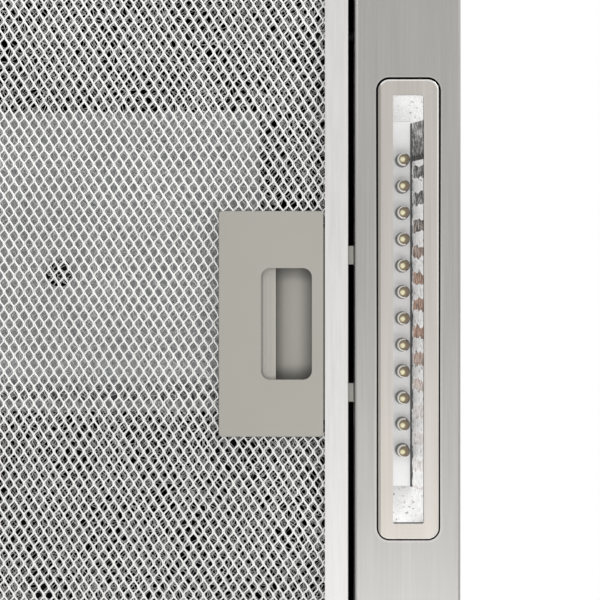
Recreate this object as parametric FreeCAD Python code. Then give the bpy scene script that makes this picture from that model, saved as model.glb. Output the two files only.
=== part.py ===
import FreeCAD, Part
import math
import os
from FreeCAD import Vector

# Under cabinet range hood, in millimetres.
# X runs across the hood, Y from front to back, Z up. The origin is the middle of the flat top,
# which is also the middle of the four cabinet screw holes.

# ---- overall body
body_width = 750.0
body_depth = 500.0
body_height = 130.0
top_depth = 320.0  # flat top, front to back
lip_height = 52.0  # upright front edge below the slope
steel = 1.0  # outer sheets
bend = 0.6  # inside radius of a fold
lap = 14.0  # flange where two sheets overlap
seam = 0.2  # gap between sheets that butt together

# ---- underside
side_strip = 46.3
front_strip = 85.0
rear_strip = 45.0
fold_height = 14.0  # upstand round the filter opening
relief = 3.0  # notch where two folds meet
corner_plate = 1.5
edge_gap = 2.7  # gap all round each filter
corner_plate_half = (22.0, 12.0)
lip_cut_half = 7.0  # hole in the front lip behind the buttons
rail_width = 16.0
rail_height = 18.0

# ---- grease filters
filter_thick = 9.0
filter_recess = 0.5  # face above the underside
filter_lip = 10.1
filter_sheet = 0.7
mesh_sheet = 0.5
inner_sheet = 0.4
inner_layers = (2.2, 4.2, 6.2)  # above the frame's face
mesh_start = 1.1  # face of the mesh above the frame's face
tab_width = 14.0
tab_thick = 0.8
tab_height = 1.6  # middle of the tab above the frame's face
tab_reach = 6.2  # past the filter's edge
tab_spread = 110.0  # each side of the filter's middle
tab_slack = 1.0
tab_rise = 4.4  # slot above the middle of the tab

# ---- latch
latch_width = 45.6
latch_length = 98.3
latch_plate = 1.3
latch_proud = 0.3  # plate in front of the filter's face
latch_corner = 1.5
latch_wall = 1.2
latch_sheet = 1.0  # floor and back cover of the box
latch_slack = 0.1  # box to the frame's sheets
latch_edge_slack = 0.2
latch_round = 0.5
latch_margin = 2.3  # plate overhang past the box
latch_box_length = 84.0
latch_inset = 0.7  # from the frame's lip to the plate
pocket_width = 22.2
pocket_length = 48.6
pocket_corner = 4.0
pocket_inset = 5.0  # from the plate's outer edge
grip_width = 6.4  # finger grip that shows in the pocket
grip_hidden = 2.0  # more of the grip, under the plate
bar_edge = 1.3  # outer bar, short of the pocket
arm_edge = 1.0  # side arms, clear of the pocket
tongue_width = 8.0
tongue_thick = 3.2
tongue_spread = 30.0
tongue_short = 0.3  # tip to the upstand
tongue_gap = 0.75
slide_slack = 0.25
spring_radius = 1.9
spring_wire = 0.35
spring_turns = 6
spring_spread = 15.0
spring_end = 0.05  # gap at each end of a spring
rib_width = 0.8
rib_high = 0.2
rib_places = (5.2, 3.4, 1.6)  # from the pocket's inner edge
rib_inset = 3.0

# ---- lamps
lamp_length = 200.0
lamp_width = 26.5
lamp_corner = 5.0
lamp_edge = 9.6  # from the body's side to the bezel
lamp_shift = 6.4  # middle of the lamp behind the filter's middle
lamp_gap = 0.6
window_length = 186.5
window_width = 13.5
bezel_thick = 1.0
bezel_proud = 0.3
bezel_round = 0.4
skirt_wide = 3.0  # round the lens
skirt_gap = 0.4
lens_thick = 1.0
lens_border = 3.0
tray_wall = 1.4
tray_flange = 4.0
tray_flange_thick = 1.2
tray_depth = 13.0  # lens to board
tray_rear_slope = 9.8
tray_front_slope = 14.3
tray_side_slope = 4.8
board_thick = 1.6
led_count = 12
led_pitch = 11.7
led_across = 1.8  # row of LEDs from the lamp's middle
led_along = 1.7
led_radius = 2.5
led_base_radius = 2.95
led_base = 1.0
led_height = 6.1  # base to the middle of the dome

# ---- blower
casing_half = 286.0
casing_front = -106.0
casing_rear = 25.0
casing_height = 110.0
casing_sheet = 0.8
casing_round = 18.0  # front lower bend
casing_flange = 12.0
shaft_y = -47.4
shaft_z = -58.0
shaft_radius = 4.0
wheel_radius = 46.0
wheel_ring = 6.0
wheel_end_gap = 5.0
wheel_length = 93.5
wheel_plate = 1.5
blade_count = 36
blade_thick = 0.8
blade_lean = 9.0  # degrees from root to tip
hub_radius = 11.0
hub_half = 9.7
set_screw = 1.9
inlet_radius = 38.0
inlet_flare = 5.0
access_radius = 6.2
motor_radius = 42.0
motor_half = 46.0
motor_wall = 2.0
bell_radius = 30.0
bell_length = 6.0
boss_radius = 16.0
boss_length = 8.0
bearing_length = 10.0
can_round = 5.0
can_inner_round = 3.0
lead_gap = 0.4
stator_half = 25.0
stator_bore = 22.0
rotor_radius = 21.4
rotor_half = 23.0
running_gap = 0.06
cradle_sheet = 1.5
cradle_half = 24.0
cradle_leg = 25.0
cradle_foot = 11.0
grommet_radius = 5.0
grommet_lip = 2.0
grommet_waist = 9.0

# ---- duct outlet for a 3 1/4 by 10 inch rectangular duct
duct_y = -41.5
collar_length = 252.0
collar_depth = 80.5
collar_sheet = 0.8
collar_rise = 32.0
collar_flange = 8.0
collar_gap = 2.0
flap_z = 8.0
flap_thick = 0.8
flap_gap = 1.0
flap_clear = 0.5
rod_radius = 2.0
rod_gap = 0.06
rod_out = 1.0
knuckle_radius = 3.2
knuckle_length = 20.0
knuckle_spread = 90.0
ledge = 3.0
rear_duct_length = 254.0
rear_duct_height = 82.6

# ---- controls
button_names = ("light", "off", "low", "medium", "high")
button_width = 18.0
button_height = 10.0
button_pitch = 23.0
button_proud = 3.6
button_depth = 12.0
button_gap = 0.35
button_travel = 3.0
stem_width = 8.0
stem_height = 6.0
stem_length = 10.0
panel_length = 128.0
panel_height = 22.0
panel_thick = 1.2
panel_corner = 4.0
block_depth = 26.0
block_border = 4.0
pocket_past = 1.0  # room behind a pressed button
button_corner = 1.2
button_round = 0.8
panel_round = 0.6

# ---- wiring
hole_x = 300.0
hole_y = 120.0
hole_radius = 3.25
cable_hole_radius = 11.1
cable_hole = (225.0, 95.0)
wire_box = (170.0, 280.0, 50.0, 140.0)  # X and Y limits
wire_box_height = 44.0
wire_box_flange = 12.0
cable_radius = 2.6
cable_bend = 14.0
cable_in = 6.0  # length inside the wiring box
wire_line_y = 75.0
wire_line_z = -22.0
motor_cable_x = 30.0
motor_cable_z = -70.0
motor_cable_bend = 8.0
motor_cable_run = 10.0  # behind the casing
motor_entry_x = 200.0
motor_entry_in = 14.0
control_y = 100.0
control_cable_x = (40.0, 312.0)  # start, and run to the back
control_cable_run = 24.0  # behind the switch block
driver_place = (42.0, 50.0)  # from the wiring box's corner
driver_size = (58.0, 32.0, 20.0)
capacitor_place = (17.0, 30.0)
capacitor_radius = 13.0
capacitor_length = 52.0
wire_joint_place = (52.0, 26.0)
wire_joint_pitch = 15.0
wire_joint_radii = (6.0, 4.0)
wire_joint_high = 20.0

# ---- screws and rivets
screw_radius = 1.7
screw_head = 3.6
screw_head_high = 1.7
screw_length = 6.0
rivet_radius = 1.6
rivet_head = 3.0
rivet_head_high = 0.9
rivet_short = 0.2  # tail below the outer face
corner_screw = 12.0  # each side of the opening's edge
rail_screw = 8.0  # above the underside
casing_rivets = (90.0, 260.0)  # each side of the middle
cradle_screw = 14.0
collar_rivet = 25.0
box_rivet = 15.0
cover_rivet_out = 5.0
cover_rivet_in = 8.0
cover_lap = 10.0

# ---- places worked out from the sizes above
half = body_width / 2
rear = top_depth / 2
front = rear - body_depth
bottom = -body_height
opening_side = half - side_strip
opening_front = front + front_strip
opening_rear = rear - rear_strip
filter_y = (opening_front + opening_rear) / 2
filter_half = (opening_rear - opening_front) / 2 - edge_gap
filter_outer = -opening_side + edge_gap
filter_inner = -rail_width / 2 - edge_gap
filter_face = bottom + filter_recess
filter_back = filter_face + filter_thick
lamp_y = filter_y + lamp_shift
lamp_x = -half + lamp_edge + lamp_width / 2
lens_z = bottom - bezel_proud + bezel_thick
tray_z = lens_z + lens_thick
board_z = tray_z + tray_depth
casing_bottom = -steel - casing_height
tongue_z = filter_face + filter_thick / 2
tab_z = filter_face + tab_height
plate_outer = filter_outer + filter_lip + latch_inset
plate_inner = plate_outer + latch_width
pocket_outer = plate_outer + pocket_inset
pocket_inner = pocket_outer + pocket_width
panel_z = bottom + lip_height / 2
wheel_end = casing_half - wheel_end_gap
wheel_start = wheel_end - wheel_length
hub_x = wheel_start + hub_half
box_start = filter_outer + filter_sheet + latch_edge_slack
box_end = plate_inner - latch_margin
cavity_start = box_start + latch_wall
cavity_end = box_end - latch_wall
cavity_low = filter_face + filter_sheet + latch_slack + latch_sheet
cavity_high = filter_back - filter_sheet - latch_slack - latch_sheet
grip_end = pocket_inner + grip_hidden

parts = {}


# ---------------------------------------------------------------- plain shapes
def box(x0, x1, y0, y1, z0, z1):
    return Part.makeBox(x1 - x0, y1 - y0, z1 - z0, Vector(x0, y0, z0))


def rod(at, axis, radius, length):
    return Part.makeCylinder(radius, length, Vector(*at), Vector(*axis))


def edges_along(shape, axis, near=None):
    """Straight edges along an axis, or only those through a point across it."""
    found = []
    for edge in shape.Edges:
        if edge.Curve.TypeId != "Part::GeomLine":
            continue
        span = edge.Vertexes[-1].Point - edge.Vertexes[0].Point
        if span.Length < 1e-6 or abs(abs(span.normalize().dot(axis)) - 1) > 1e-6:
            continue
        if near is not None:
            off = edge.Vertexes[0].Point - near
            if (off - axis * off.dot(axis)).Length > 1e-3:
                continue
        found.append(edge)
    return found


def plate(x0, x1, y0, y1, z0, z1, corner):
    """A flat plate with rounded corners in plan."""
    shape = box(x0, x1, y0, y1, z0, z1)
    return shape.makeFillet(corner, edges_along(shape, Vector(0, 0, 1)))


def plate_at(x, y, length_x, length_y, z0, z1, corner):
    return plate(
        x - length_x / 2, x + length_x / 2, y - length_y / 2, y + length_y / 2, z0, z1, corner
    )


def join(first, *others):
    return first.multiFuse(list(others)).removeSplitter()


def mirrored(shape):
    return shape.mirror(Vector(0, 0, 0), Vector(1, 0, 0))


def left_normal(a, b):
    length = math.hypot(b[0] - a[0], b[1] - a[1])
    return (a[1] - b[1]) / length, (b[0] - a[0]) / length


def beside(points, distance):
    """The same bent line, moved to its left by a distance."""
    moved = []
    for i, (u, v) in enumerate(points):
        first = left_normal(points[i - 1], points[i]) if i > 0 else None
        second = left_normal(points[i], points[i + 1]) if i < len(points) - 1 else None
        first, second = first or second, second or first
        share = distance / (1 + first[0] * second[0] + first[1] * second[1])
        moved.append((u + share * (first[0] + second[0]), v + share * (first[1] + second[1])))
    return moved


def folded(points, thick, axis, start, length, rounds=None):
    """A folded sheet. points is one face of it in section, and the sheet lies to its left.

    axis is x or y, the way that the folds run. rounds gives a larger inside radius for a fold.
    """
    other = beside(points, thick)

    def place(p):
        return Vector(start, p[0], p[1]) if axis == "x" else Vector(p[0], start, p[1])

    way = Vector(1, 0, 0) if axis == "x" else Vector(0, 1, 0)
    outline = [place(p) for p in points + other[::-1]]
    shape = Part.Face(Part.makePolygon(outline + outline[:1])).extrude(way * length)
    for i in range(1, len(points) - 1):
        before, after = points[i - 1], points[i + 1]
        turn = (points[i][0] - before[0]) * (after[1] - points[i][1]) - (
            points[i][1] - before[1]
        ) * (after[0] - points[i][0])
        inside, outside = (other[i], points[i]) if turn * thick > 0 else (points[i], other[i])
        radius = (rounds or {}).get(i, bend)
        for spot, r in ((outside, radius + abs(thick)), (inside, radius)):
            shape = shape.makeFillet(r, edges_along(shape, way, place(spot)))
    return shape


# ---------------------------------------------------------------- screws and rivets
def headed(at, axis, radius, high, shank, length):
    """A round head with a shank. at is under the head, and axis points to the tip."""
    way = Vector(*axis)
    head = Part.makeCylinder(radius, high, Vector(*at), way * -1)
    rims = [e for e in head.Edges if e.Curve.TypeId == "Part::GeomCircle"]
    top = min(rims, key=lambda e: (e.Curve.Center - Vector(*at)).dot(way))
    head = head.makeFillet(high * 0.6, [top])
    return join(head, rod(at, axis, shank, length))


def screws(places):
    made = [
        headed(at, way, screw_head, screw_head_high, screw_radius, screw_length)
        for at, way in places
    ]
    return Part.makeCompound(made)


def rivets(places, grip):
    made = [
        headed(at, way, rivet_head, rivet_head_high, rivet_radius, grip - rivet_short)
        for at, way in places
    ]
    return Part.makeCompound(made)


def shank_holes(places, radius=screw_radius):
    return [rod(at, way, radius, screw_length + 4) for at, way in places]


def places(xs, ys, z, way):
    return [((x, y, z), (0, 0, way)) for x in xs for y in ys]


strip_x = opening_side + corner_screw
wing_x = opening_side - corner_screw
corner_places = places(
    (-strip_x, -wing_x, wing_x, strip_x),
    ((front + opening_front) / 2, (rear + opening_rear) / 2),
    bottom,
    1,
)
rail_places = [
    ((0, opening_front - steel, bottom + rail_screw), (0, 1, 0)),
    ((0, opening_rear + steel, bottom + rail_screw), (0, -1, 0)),
]
flange_ys = (casing_front - casing_flange / 2, casing_rear + casing_flange / 2)
casing_xs = sorted([-x for x in casing_rivets] + list(casing_rivets))
casing_places = places(casing_xs, flange_ys, -steel - casing_sheet, 1)
cradle_y = cradle_leg + cradle_foot / 2 + 1
cradle_ys = (shaft_y - cradle_y, shaft_y + cradle_y)
cradle_places = places((-cradle_screw, cradle_screw), cradle_ys, casing_bottom, 1)
collar_x = collar_length / 2 + collar_flange / 2
collar_ys = (duct_y - collar_rivet, duct_y + collar_rivet)
collar_places = places((-collar_x, collar_x), collar_ys, -steel - collar_sheet, 1)
box_xs = (wire_box[0] - wire_box_flange / 2, wire_box[1] + wire_box_flange / 2)
box_ys = (wire_box[2] + box_rivet, wire_box[3] - box_rivet)
box_places = places(box_xs, box_ys, -steel - casing_sheet, 1)
cover_x = rear_duct_length / 2 + cover_rivet_out
cover_z = rear_duct_height / 2 - cover_rivet_in
rear_duct_z = bottom / 2
cover_places = [
    ((x, rear - 2 * steel, rear_duct_z + z), (0, 1, 0))
    for x in (-cover_x, cover_x)
    for z in (-cover_z, cover_z)
]


# ---------------------------------------------------------------- outer sheets
def prism(points, x0, x1):
    outline = [Vector(x0, y, z) for y, z in points]
    return Part.Face(Part.makePolygon(outline + outline[:1])).extrude(Vector(x1 - x0, 0, 0))


def lamp_opening():
    return plate_at(
        lamp_x,
        lamp_y,
        lamp_width + 2 * lamp_gap,
        lamp_length + 2 * lamp_gap,
        bottom - steel,
        bottom + 2 * steel,
        lamp_corner + lamp_gap,
    )


def tongue_slots(x0, x1):
    across = tongue_width / 2 + tongue_gap
    up = tongue_thick / 2 + tongue_gap
    return [
        box(x0, x1, y - across, y + across, tongue_z - up, tongue_z + up)
        for y in (filter_y - tongue_spread, filter_y + tongue_spread)
    ]


def left_side_panel():
    inner = -opening_side
    points = [
        (-half + lap, -steel),
        (-half, -steel),
        (-half, bottom),
        (inner, bottom),
        (inner, bottom + fold_height),
    ]
    sheet = folded(points, steel, "y", front + steel, body_depth - 2 * steel)
    ends = (front + steel, rear - steel)
    outline = [
        (front, bottom),
        (front, bottom + lip_height),
        (-rear, 0),
        (rear, 0),
        (rear, bottom),
    ]
    cheek = prism(beside(outline, -steel), -half, 0)
    gap = seam
    cuts = [lamp_opening()] + tongue_slots(inner - 2 * steel, inner + steel)
    for y0, y1, edge in (
        (front, opening_front, ends[0] + gap),
        (opening_rear, rear, ends[1] - gap),
    ):
        cuts.append(box(inner - relief, 0, y0, y1, bottom - 1, bottom + fold_height + 1))
        a, b = (y0, edge) if y0 < 0 else (edge, y1)
        cuts.append(box(-half + 2 * steel, 0, a, b, bottom - 1, bottom + steel + bend))
    cuts.append(box(inner - relief, 0, front, opening_front + gap, bottom - 1, 0))
    cuts.append(box(inner - relief, 0, opening_rear - gap, rear, bottom - 1, 0))
    cuts.append(box(-half + 2 * steel, 0, rear - lap - 2, rear, -3 * steel, 0))
    cuts += shank_holes(corner_places)
    return sheet.common(cheek).cut(cuts)


def corner_notches(y_fold, y_edge):
    """Both ends of a bottom strip, cut back to meet the side strips."""
    cuts = []
    y0, y1 = sorted((y_fold, y_edge))
    wide, narrow = opening_side + relief - seam, opening_side - seam
    near = sorted((y_fold, y_fold + math.copysign(relief, y_edge - y_fold)))
    for side in (-1, 1):
        a, b = sorted((side * wide, side * (half + 1)))
        cuts.append(box(a, b, y0, y1, bottom - 1, bottom + fold_height + 1))
        a, b = sorted((side * narrow, side * (half + 1)))
        cuts.append(box(a, b, near[0], near[1], bottom - 1, bottom + fold_height + 1))
    return cuts


def canopy():
    """Bottom front strip, lip, slope and top in one folded sheet."""
    points = [
        (opening_front, bottom + fold_height),
        (opening_front, bottom),
        (front, bottom),
        (front, bottom + lip_height),
        (-rear, 0),
        (rear, 0),
    ]
    sheet = folded(points, -steel, "x", -half, body_width)
    opening = plate_at(
        0,
        duct_y,
        collar_length + 2 * collar_gap,
        collar_depth + 2 * collar_gap,
        -2 * steel,
        steel,
        3,
    )
    holes = [
        rod((x, y, -2 * steel), (0, 0, 1), hole_radius, 3 * steel)
        for x in (-hole_x, hole_x)
        for y in (-hole_y, hole_y)
    ]
    cable = rod((*cable_hole, -2 * steel), (0, 0, 1), cable_hole_radius, 3 * steel)
    reach = button_pitch * 2 + button_width / 2 + 2
    lip = box(-reach, reach, front - 1, front + 2, panel_z - lip_cut_half, panel_z + lip_cut_half)
    cuts = [opening, cable, lip] + holes + corner_notches(opening_front, front + steel)
    cuts += shank_holes(corner_places) + shank_holes(rail_places)
    cuts += shank_holes(casing_places + collar_places + box_places, rivet_radius)
    return sheet.cut(cuts)


def back_panel():
    """Bottom rear strip, back and a flange under the top."""
    wall = half - steel - seam
    points = [
        (opening_rear, bottom + fold_height),
        (opening_rear, bottom),
        (rear, bottom),
        (rear, -steel),
        (rear - lap, -steel),
    ]
    sheet = folded(points, steel, "x", -wall, 2 * wall)
    duct = box(
        -rear_duct_length / 2,
        rear_duct_length / 2,
        rear - 2 * steel,
        rear + steel,
        rear_duct_z - rear_duct_height / 2,
        rear_duct_z + rear_duct_height / 2,
    )
    cuts = [duct] + corner_notches(opening_rear, rear - steel)
    for side in (-1, 1):
        a, b = sorted((side * (half - 4 * steel), side * half))
        cuts.append(box(a, b, rear - lap - 1, rear - steel, -4 * steel, 0))
    cuts += shank_holes(corner_places) + shank_holes(rail_places)
    cuts += shank_holes(cover_places, rivet_radius)
    return sheet.cut(cuts)


def rear_duct_cover():
    """Blanking plate inside the back, over the rear outlet."""
    x, z = rear_duct_length / 2 + cover_lap, rear_duct_height / 2 + cover_lap
    sheet = box(-x, x, rear - 2 * steel, rear - steel, rear_duct_z - z, rear_duct_z + z)
    return sheet.cut(shank_holes(cover_places, rivet_radius))


def corner_plates():
    made = []
    for side in (-1, 1):
        for y in (corner_places[0][0][1], corner_places[1][0][1]):
            x = side * opening_side
            z = bottom + steel
            a, b = corner_plate_half
            made.append(plate(x - a, x + a, y - b, y + b, z, z + corner_plate, 3))
    return Part.makeCompound([m.cut(shank_holes(corner_places)) for m in made])


def centre_rail():
    """Channel between the filters, with slots for their tabs."""
    side = rail_width / 2
    points = [
        (-side, bottom + rail_height),
        (-side, bottom),
        (side, bottom),
        (side, bottom + rail_height),
    ]
    length = opening_rear - opening_front
    sheet = folded(points, steel, "y", opening_front, length)
    ears = [
        box(-side + steel, side - steel, y, y + steel, bottom + steel, bottom + fold_height)
        for y in (opening_front, opening_rear - steel)
    ]
    across = tab_width / 2 + tab_slack
    slots = [
        box(-side - 1, side + 1, y - across, y + across, tab_z - tab_slack, tab_z + tab_rise)
        for y in (filter_y - tab_spread, filter_y + tab_spread)
    ]
    floor = box(-side + steel, side - steel, opening_front, opening_rear, bottom, bottom + steel)
    return join(sheet.cut(slots), floor, *ears).cut(shank_holes(rail_places))


# ---------------------------------------------------------------- grease filters, left one
def filter_block(edge, z0, z1):
    return box(
        filter_outer + edge,
        filter_inner - edge,
        filter_y - filter_half + edge,
        filter_y + filter_half - edge,
        filter_face + z0,
        filter_face + z1,
    )


def filter_frame():
    shape = filter_block(0, 0, filter_thick)
    corners = edges_along(shape, Vector(0, 0, 1))
    shape = shape.makeFillet(filter_sheet, corners)
    inside = filter_block(filter_sheet, filter_sheet, filter_thick - filter_sheet)
    window = filter_block(filter_lip, -1, filter_thick + 1)
    shape = shape.cut([inside, window])
    rims = []
    for edge in shape.Edges:
        flat = edge.BoundBox.ZLength < 1e-6
        level = min(
            abs(edge.BoundBox.ZMin - filter_face), abs(edge.BoundBox.ZMin - filter_back)
        )
        inner = (
            edge.BoundBox.XMin > filter_outer + 2
            and edge.BoundBox.XMax < filter_inner - 2
            or edge.BoundBox.YMin > filter_y - filter_half + 2
            and edge.BoundBox.YMax < filter_y + filter_half - 2
        )
        on_outside = (
            abs(edge.BoundBox.XMin - filter_outer) < 1.5 * filter_sheet
            or abs(edge.BoundBox.XMax - filter_inner) < 1.5 * filter_sheet
        ) or not inner
        if flat and level < 1e-6 and on_outside:
            rims.append(edge)
    shape = shape.makeFillet(filter_sheet * 0.7, rims)
    tabs = [
        box(
            filter_inner - filter_sheet,
            filter_inner + tab_reach,
            y - tab_width / 2,
            y + tab_width / 2,
            tab_z - tab_thick / 2,
            tab_z + tab_thick / 2,
        )
        for y in (filter_y - tab_spread, filter_y + tab_spread)
    ]
    slots = tongue_slots(filter_outer - 1, filter_outer + 2 * filter_sheet)
    return join(shape.cut(slots), *tabs)


def mesh_layer(z0, z1):
    """One layer of mesh as a plain slab, cut out for the latch."""
    latch = box(
        filter_outer,
        plate_inner - latch_margin + latch_inset,
        filter_y - latch_box_length / 2 - latch_inset,
        filter_y + latch_box_length / 2 + latch_inset,
        filter_face,
        filter_back,
    )
    return filter_block(filter_sheet, z0, z1).cut(latch)


def latch_body():
    """Face plate and open box, with the finger pocket."""
    y0, y1 = filter_y - latch_length / 2, filter_y + latch_length / 2
    z0 = filter_face - latch_proud
    face = plate(plate_outer, plate_inner, y0, y1, z0, z0 + latch_plate, latch_corner)
    front_rim = [e for e in face.Edges if abs(e.BoundBox.ZMax - z0) < 1e-6]
    face = face.makeFillet(latch_round, front_rim)
    reach = latch_box_length / 2
    shell = box(
        box_start, box_end, filter_y - reach, filter_y + reach, cavity_low - latch_sheet, cavity_high
    )
    hollow = box(
        cavity_start,
        cavity_end,
        filter_y - reach + latch_wall,
        filter_y + reach - latch_wall,
        cavity_low,
        cavity_high + 1,
    )
    pocket = plate_at(
        (pocket_outer + pocket_inner) / 2,
        filter_y,
        pocket_width,
        pocket_length,
        z0 - 1,
        cavity_low + 1,
        pocket_corner,
    )
    slots = tongue_slots(box_start - 1, cavity_start + 1)
    return join(face, shell).cut([hollow, pocket] + slots)


def latch_cover():
    reach = latch_box_length / 2
    return plate(
        box_start,
        box_end,
        filter_y - reach,
        filter_y + reach,
        cavity_high,
        cavity_high + latch_sheet,
        1.0,
    )


def latch_slider():
    """Two tongues and a finger grip on one sliding frame."""
    z0, z1 = cavity_low + slide_slack, cavity_high - slide_slack
    reach = latch_box_length / 2 - latch_wall - slide_slack
    bar = pocket_outer - bar_edge
    arm = pocket_length / 2 + arm_edge
    rib = pocket_length / 2 - rib_inset
    frame = box(cavity_start + slide_slack, grip_end, filter_y - reach, filter_y + reach, z0, z1)
    window = box(bar, pocket_inner - grip_width, filter_y - arm, filter_y + arm, z0 - 1, z1 + 1)
    frame = frame.cut(window)
    tip = -opening_side + tongue_short
    tongues = []
    for y in (filter_y - tongue_spread, filter_y + tongue_spread):
        tongue = box(
            tip,
            bar - 2,
            y - tongue_width / 2,
            y + tongue_width / 2,
            tongue_z - tongue_thick / 2,
            tongue_z + tongue_thick / 2,
        )
        lower = Vector(tip, 0, tongue_z + tongue_thick / 2)
        tongues.append(tongue.makeChamfer(1.0, edges_along(tongue, Vector(0, 1, 0), lower)))
    ribs = [
        box(x, x + rib_width, filter_y - rib, filter_y + rib, z0 - rib_high, z0)
        for x in (pocket_inner - place for place in rib_places)
    ]
    return join(frame, *tongues, *ribs)


def latch_springs():
    length = cavity_end - grip_end - 2 * spring_end
    made = []
    for y in (filter_y - spring_spread, filter_y + spring_spread):
        pitch = (length - 2 * spring_wire) / spring_turns
        coil = Part.makeHelix(pitch, pitch * spring_turns, spring_radius)
        ring = Part.Wire(
            [Part.makeCircle(spring_wire, Vector(spring_radius, 0, 0), Vector(0, 1, 0))]
        )
        spring = Part.Wire(coil.Edges).makePipeShell([ring], True, True)
        spring.rotate(Vector(0, 0, 0), Vector(0, 1, 0), 90)
        spring.translate(Vector(grip_end + spring_end + spring_wire, y, tongue_z))
        made.append(spring)
    return Part.makeCompound(made)


# ---------------------------------------------------------------- lamps, left one
def lamp_plate(length_x, length_y, z0, z1, corner):
    return plate_at(lamp_x, lamp_y, length_x, length_y, z0, z1, corner)


def lamp_bezel():
    z0 = bottom - bezel_proud
    face = lamp_plate(lamp_width, lamp_length, z0, lens_z, lamp_corner)
    rim = [e for e in face.Edges if abs(e.BoundBox.ZMax - z0) < 1e-6]
    face = face.makeFillet(bezel_round, rim)
    window = lamp_plate(window_width, window_length, z0 - 1, lens_z + 1, 1.0)
    inner_x, inner_y = window_width + 2 * lens_border, window_length + 2 * lens_border
    skirt = lamp_plate(inner_x + skirt_wide, inner_y + skirt_wide, lens_z, tray_z, 2.5)
    seat = lamp_plate(inner_x + skirt_gap, inner_y + skirt_gap, lens_z - 1, tray_z + 1, 1.2)
    skirt = skirt.cut(seat)
    return join(face.cut(window), skirt)


def lamp_lens():
    x, y = window_width + 2 * lens_border, window_length + 2 * lens_border
    return lamp_plate(x, y, lens_z, tray_z, 1.0)


def tray_section(grow, z, share):
    """Outline of the reflector, from the window (share 0) to the board (share 1)."""
    x0 = lamp_x - window_width / 2 + share * tray_side_slope - grow
    x1 = lamp_x + window_width / 2 + grow
    y0 = lamp_y - window_length / 2 + share * tray_front_slope - grow
    y1 = lamp_y + window_length / 2 - share * tray_rear_slope + grow
    corners = [Vector(x0, y0, z), Vector(x1, y0, z), Vector(x1, y1, z), Vector(x0, y1, z)]
    return Part.makePolygon(corners + corners[:1])


def lamp_tray():
    """Reflector with sloped ends, closed above the board."""
    hollow = Part.makeLoft([tray_section(0, tray_z, 0), tray_section(0, board_z, 1)], True, True)
    top = board_z + board_thick
    seat = Part.makeLoft([tray_section(0, board_z, 1), tray_section(0, top, 1)], True, True)
    outer = [tray_section(tray_wall, tray_z, 0), tray_section(tray_wall, top + tray_wall, 1)]
    shell = Part.makeLoft(outer, True, True)
    x, y = lamp_width + tray_flange, lamp_length + tray_flange
    flange = lamp_plate(x, y, tray_z, tray_z + tray_flange_thick, 6)
    return join(shell, flange).cut([hollow, seat])


def board_y():
    return (tray_front_slope - tray_rear_slope) / 2 + lamp_y


def lamp_board():
    face = Part.Face(tray_section(-0.1, board_z, 1))
    return face.extrude(Vector(0, 0, board_thick))


def lamp_leds():
    made = []
    for i in range(led_count):
        x = lamp_x + led_across
        y = lamp_y + led_along + (i - (led_count - 1) / 2) * led_pitch
        base = rod((x, y, board_z), (0, 0, -1), led_base_radius, led_base)
        body = rod((x, y, board_z), (0, 0, -1), led_radius, led_height)
        dome = Part.makeSphere(led_radius, Vector(x, y, board_z - led_height))
        made.append(join(base, body, dome))
    return Part.makeCompound(made)


# ---------------------------------------------------------------- blower
def casing_outline():
    top = -steel - casing_sheet
    return [
        (casing_front - casing_flange, top),
        (casing_front, top),
        (casing_front, casing_bottom),
        (casing_rear, casing_bottom),
        (casing_rear, top),
        (casing_rear + casing_flange, top),
    ]


def blower_casing():
    sheet = folded(
        casing_outline(), casing_sheet, "x", -casing_half, 2 * casing_half, {2: casing_round}
    )
    holes = [
        rod((side * hub_x, shaft_y, casing_bottom - 1), (0, 0, 1), access_radius, 4)
        for side in (-1, 1)
    ]
    cable = rod((motor_cable_x, casing_rear - 3, motor_cable_z), (0, 1, 0), grommet_radius, 6)
    holes += shank_holes(casing_places, rivet_radius) + shank_holes(cradle_places)
    return sheet.cut(holes + [cable])


def casing_end():
    """Left end of the casing with its inlet ring."""
    points = casing_outline()[1:5]
    points = [(y, min(z, -steel)) for y, z in points]
    points[0] = (casing_front, -steel)
    points[3] = (casing_rear, -steel)
    x1 = -casing_half
    x0 = x1 - casing_sheet
    sheet = prism(points, x0, x1)
    way = Vector(1, 0, 0)
    corner = edges_along(sheet, way, Vector(x0, casing_front, casing_bottom))
    sheet = sheet.makeFillet(casing_round + casing_sheet, corner)
    corner = edges_along(sheet, way, Vector(x0, casing_rear, casing_bottom))
    sheet = sheet.makeFillet(bend + casing_sheet, corner)
    rim = inlet_radius + inlet_flare
    centre = Vector(x0, shaft_y, shaft_z)
    hole = Part.makeCylinder(rim, 3 * casing_sheet, centre - way, way)
    return join(sheet.cut(hole), inlet_bell(x0, rim))


def inlet_bell(x, rim):
    """Ring that curls in from the casing's end to the inlet's throat."""
    around = Vector(x + inlet_flare, shaft_y + rim, shaft_z)

    def at(radius, degrees):
        angle = math.radians(degrees)
        return around + Vector(-radius * math.cos(angle), -radius * math.sin(angle), 0)

    small = inlet_flare - casing_sheet
    edges = [
        Part.Arc(at(inlet_flare, 0), at(inlet_flare, 45), at(inlet_flare, 90)).toShape(),
        Part.makeLine(at(inlet_flare, 90), at(small, 90)),
        Part.Arc(at(small, 90), at(small, 45), at(small, 0)).toShape(),
        Part.makeLine(at(small, 0), at(inlet_flare, 0)),
    ]
    face = Part.Face(Part.Wire(edges))
    return face.revolve(Vector(0, shaft_y, shaft_z), Vector(1, 0, 0), 360)


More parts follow.
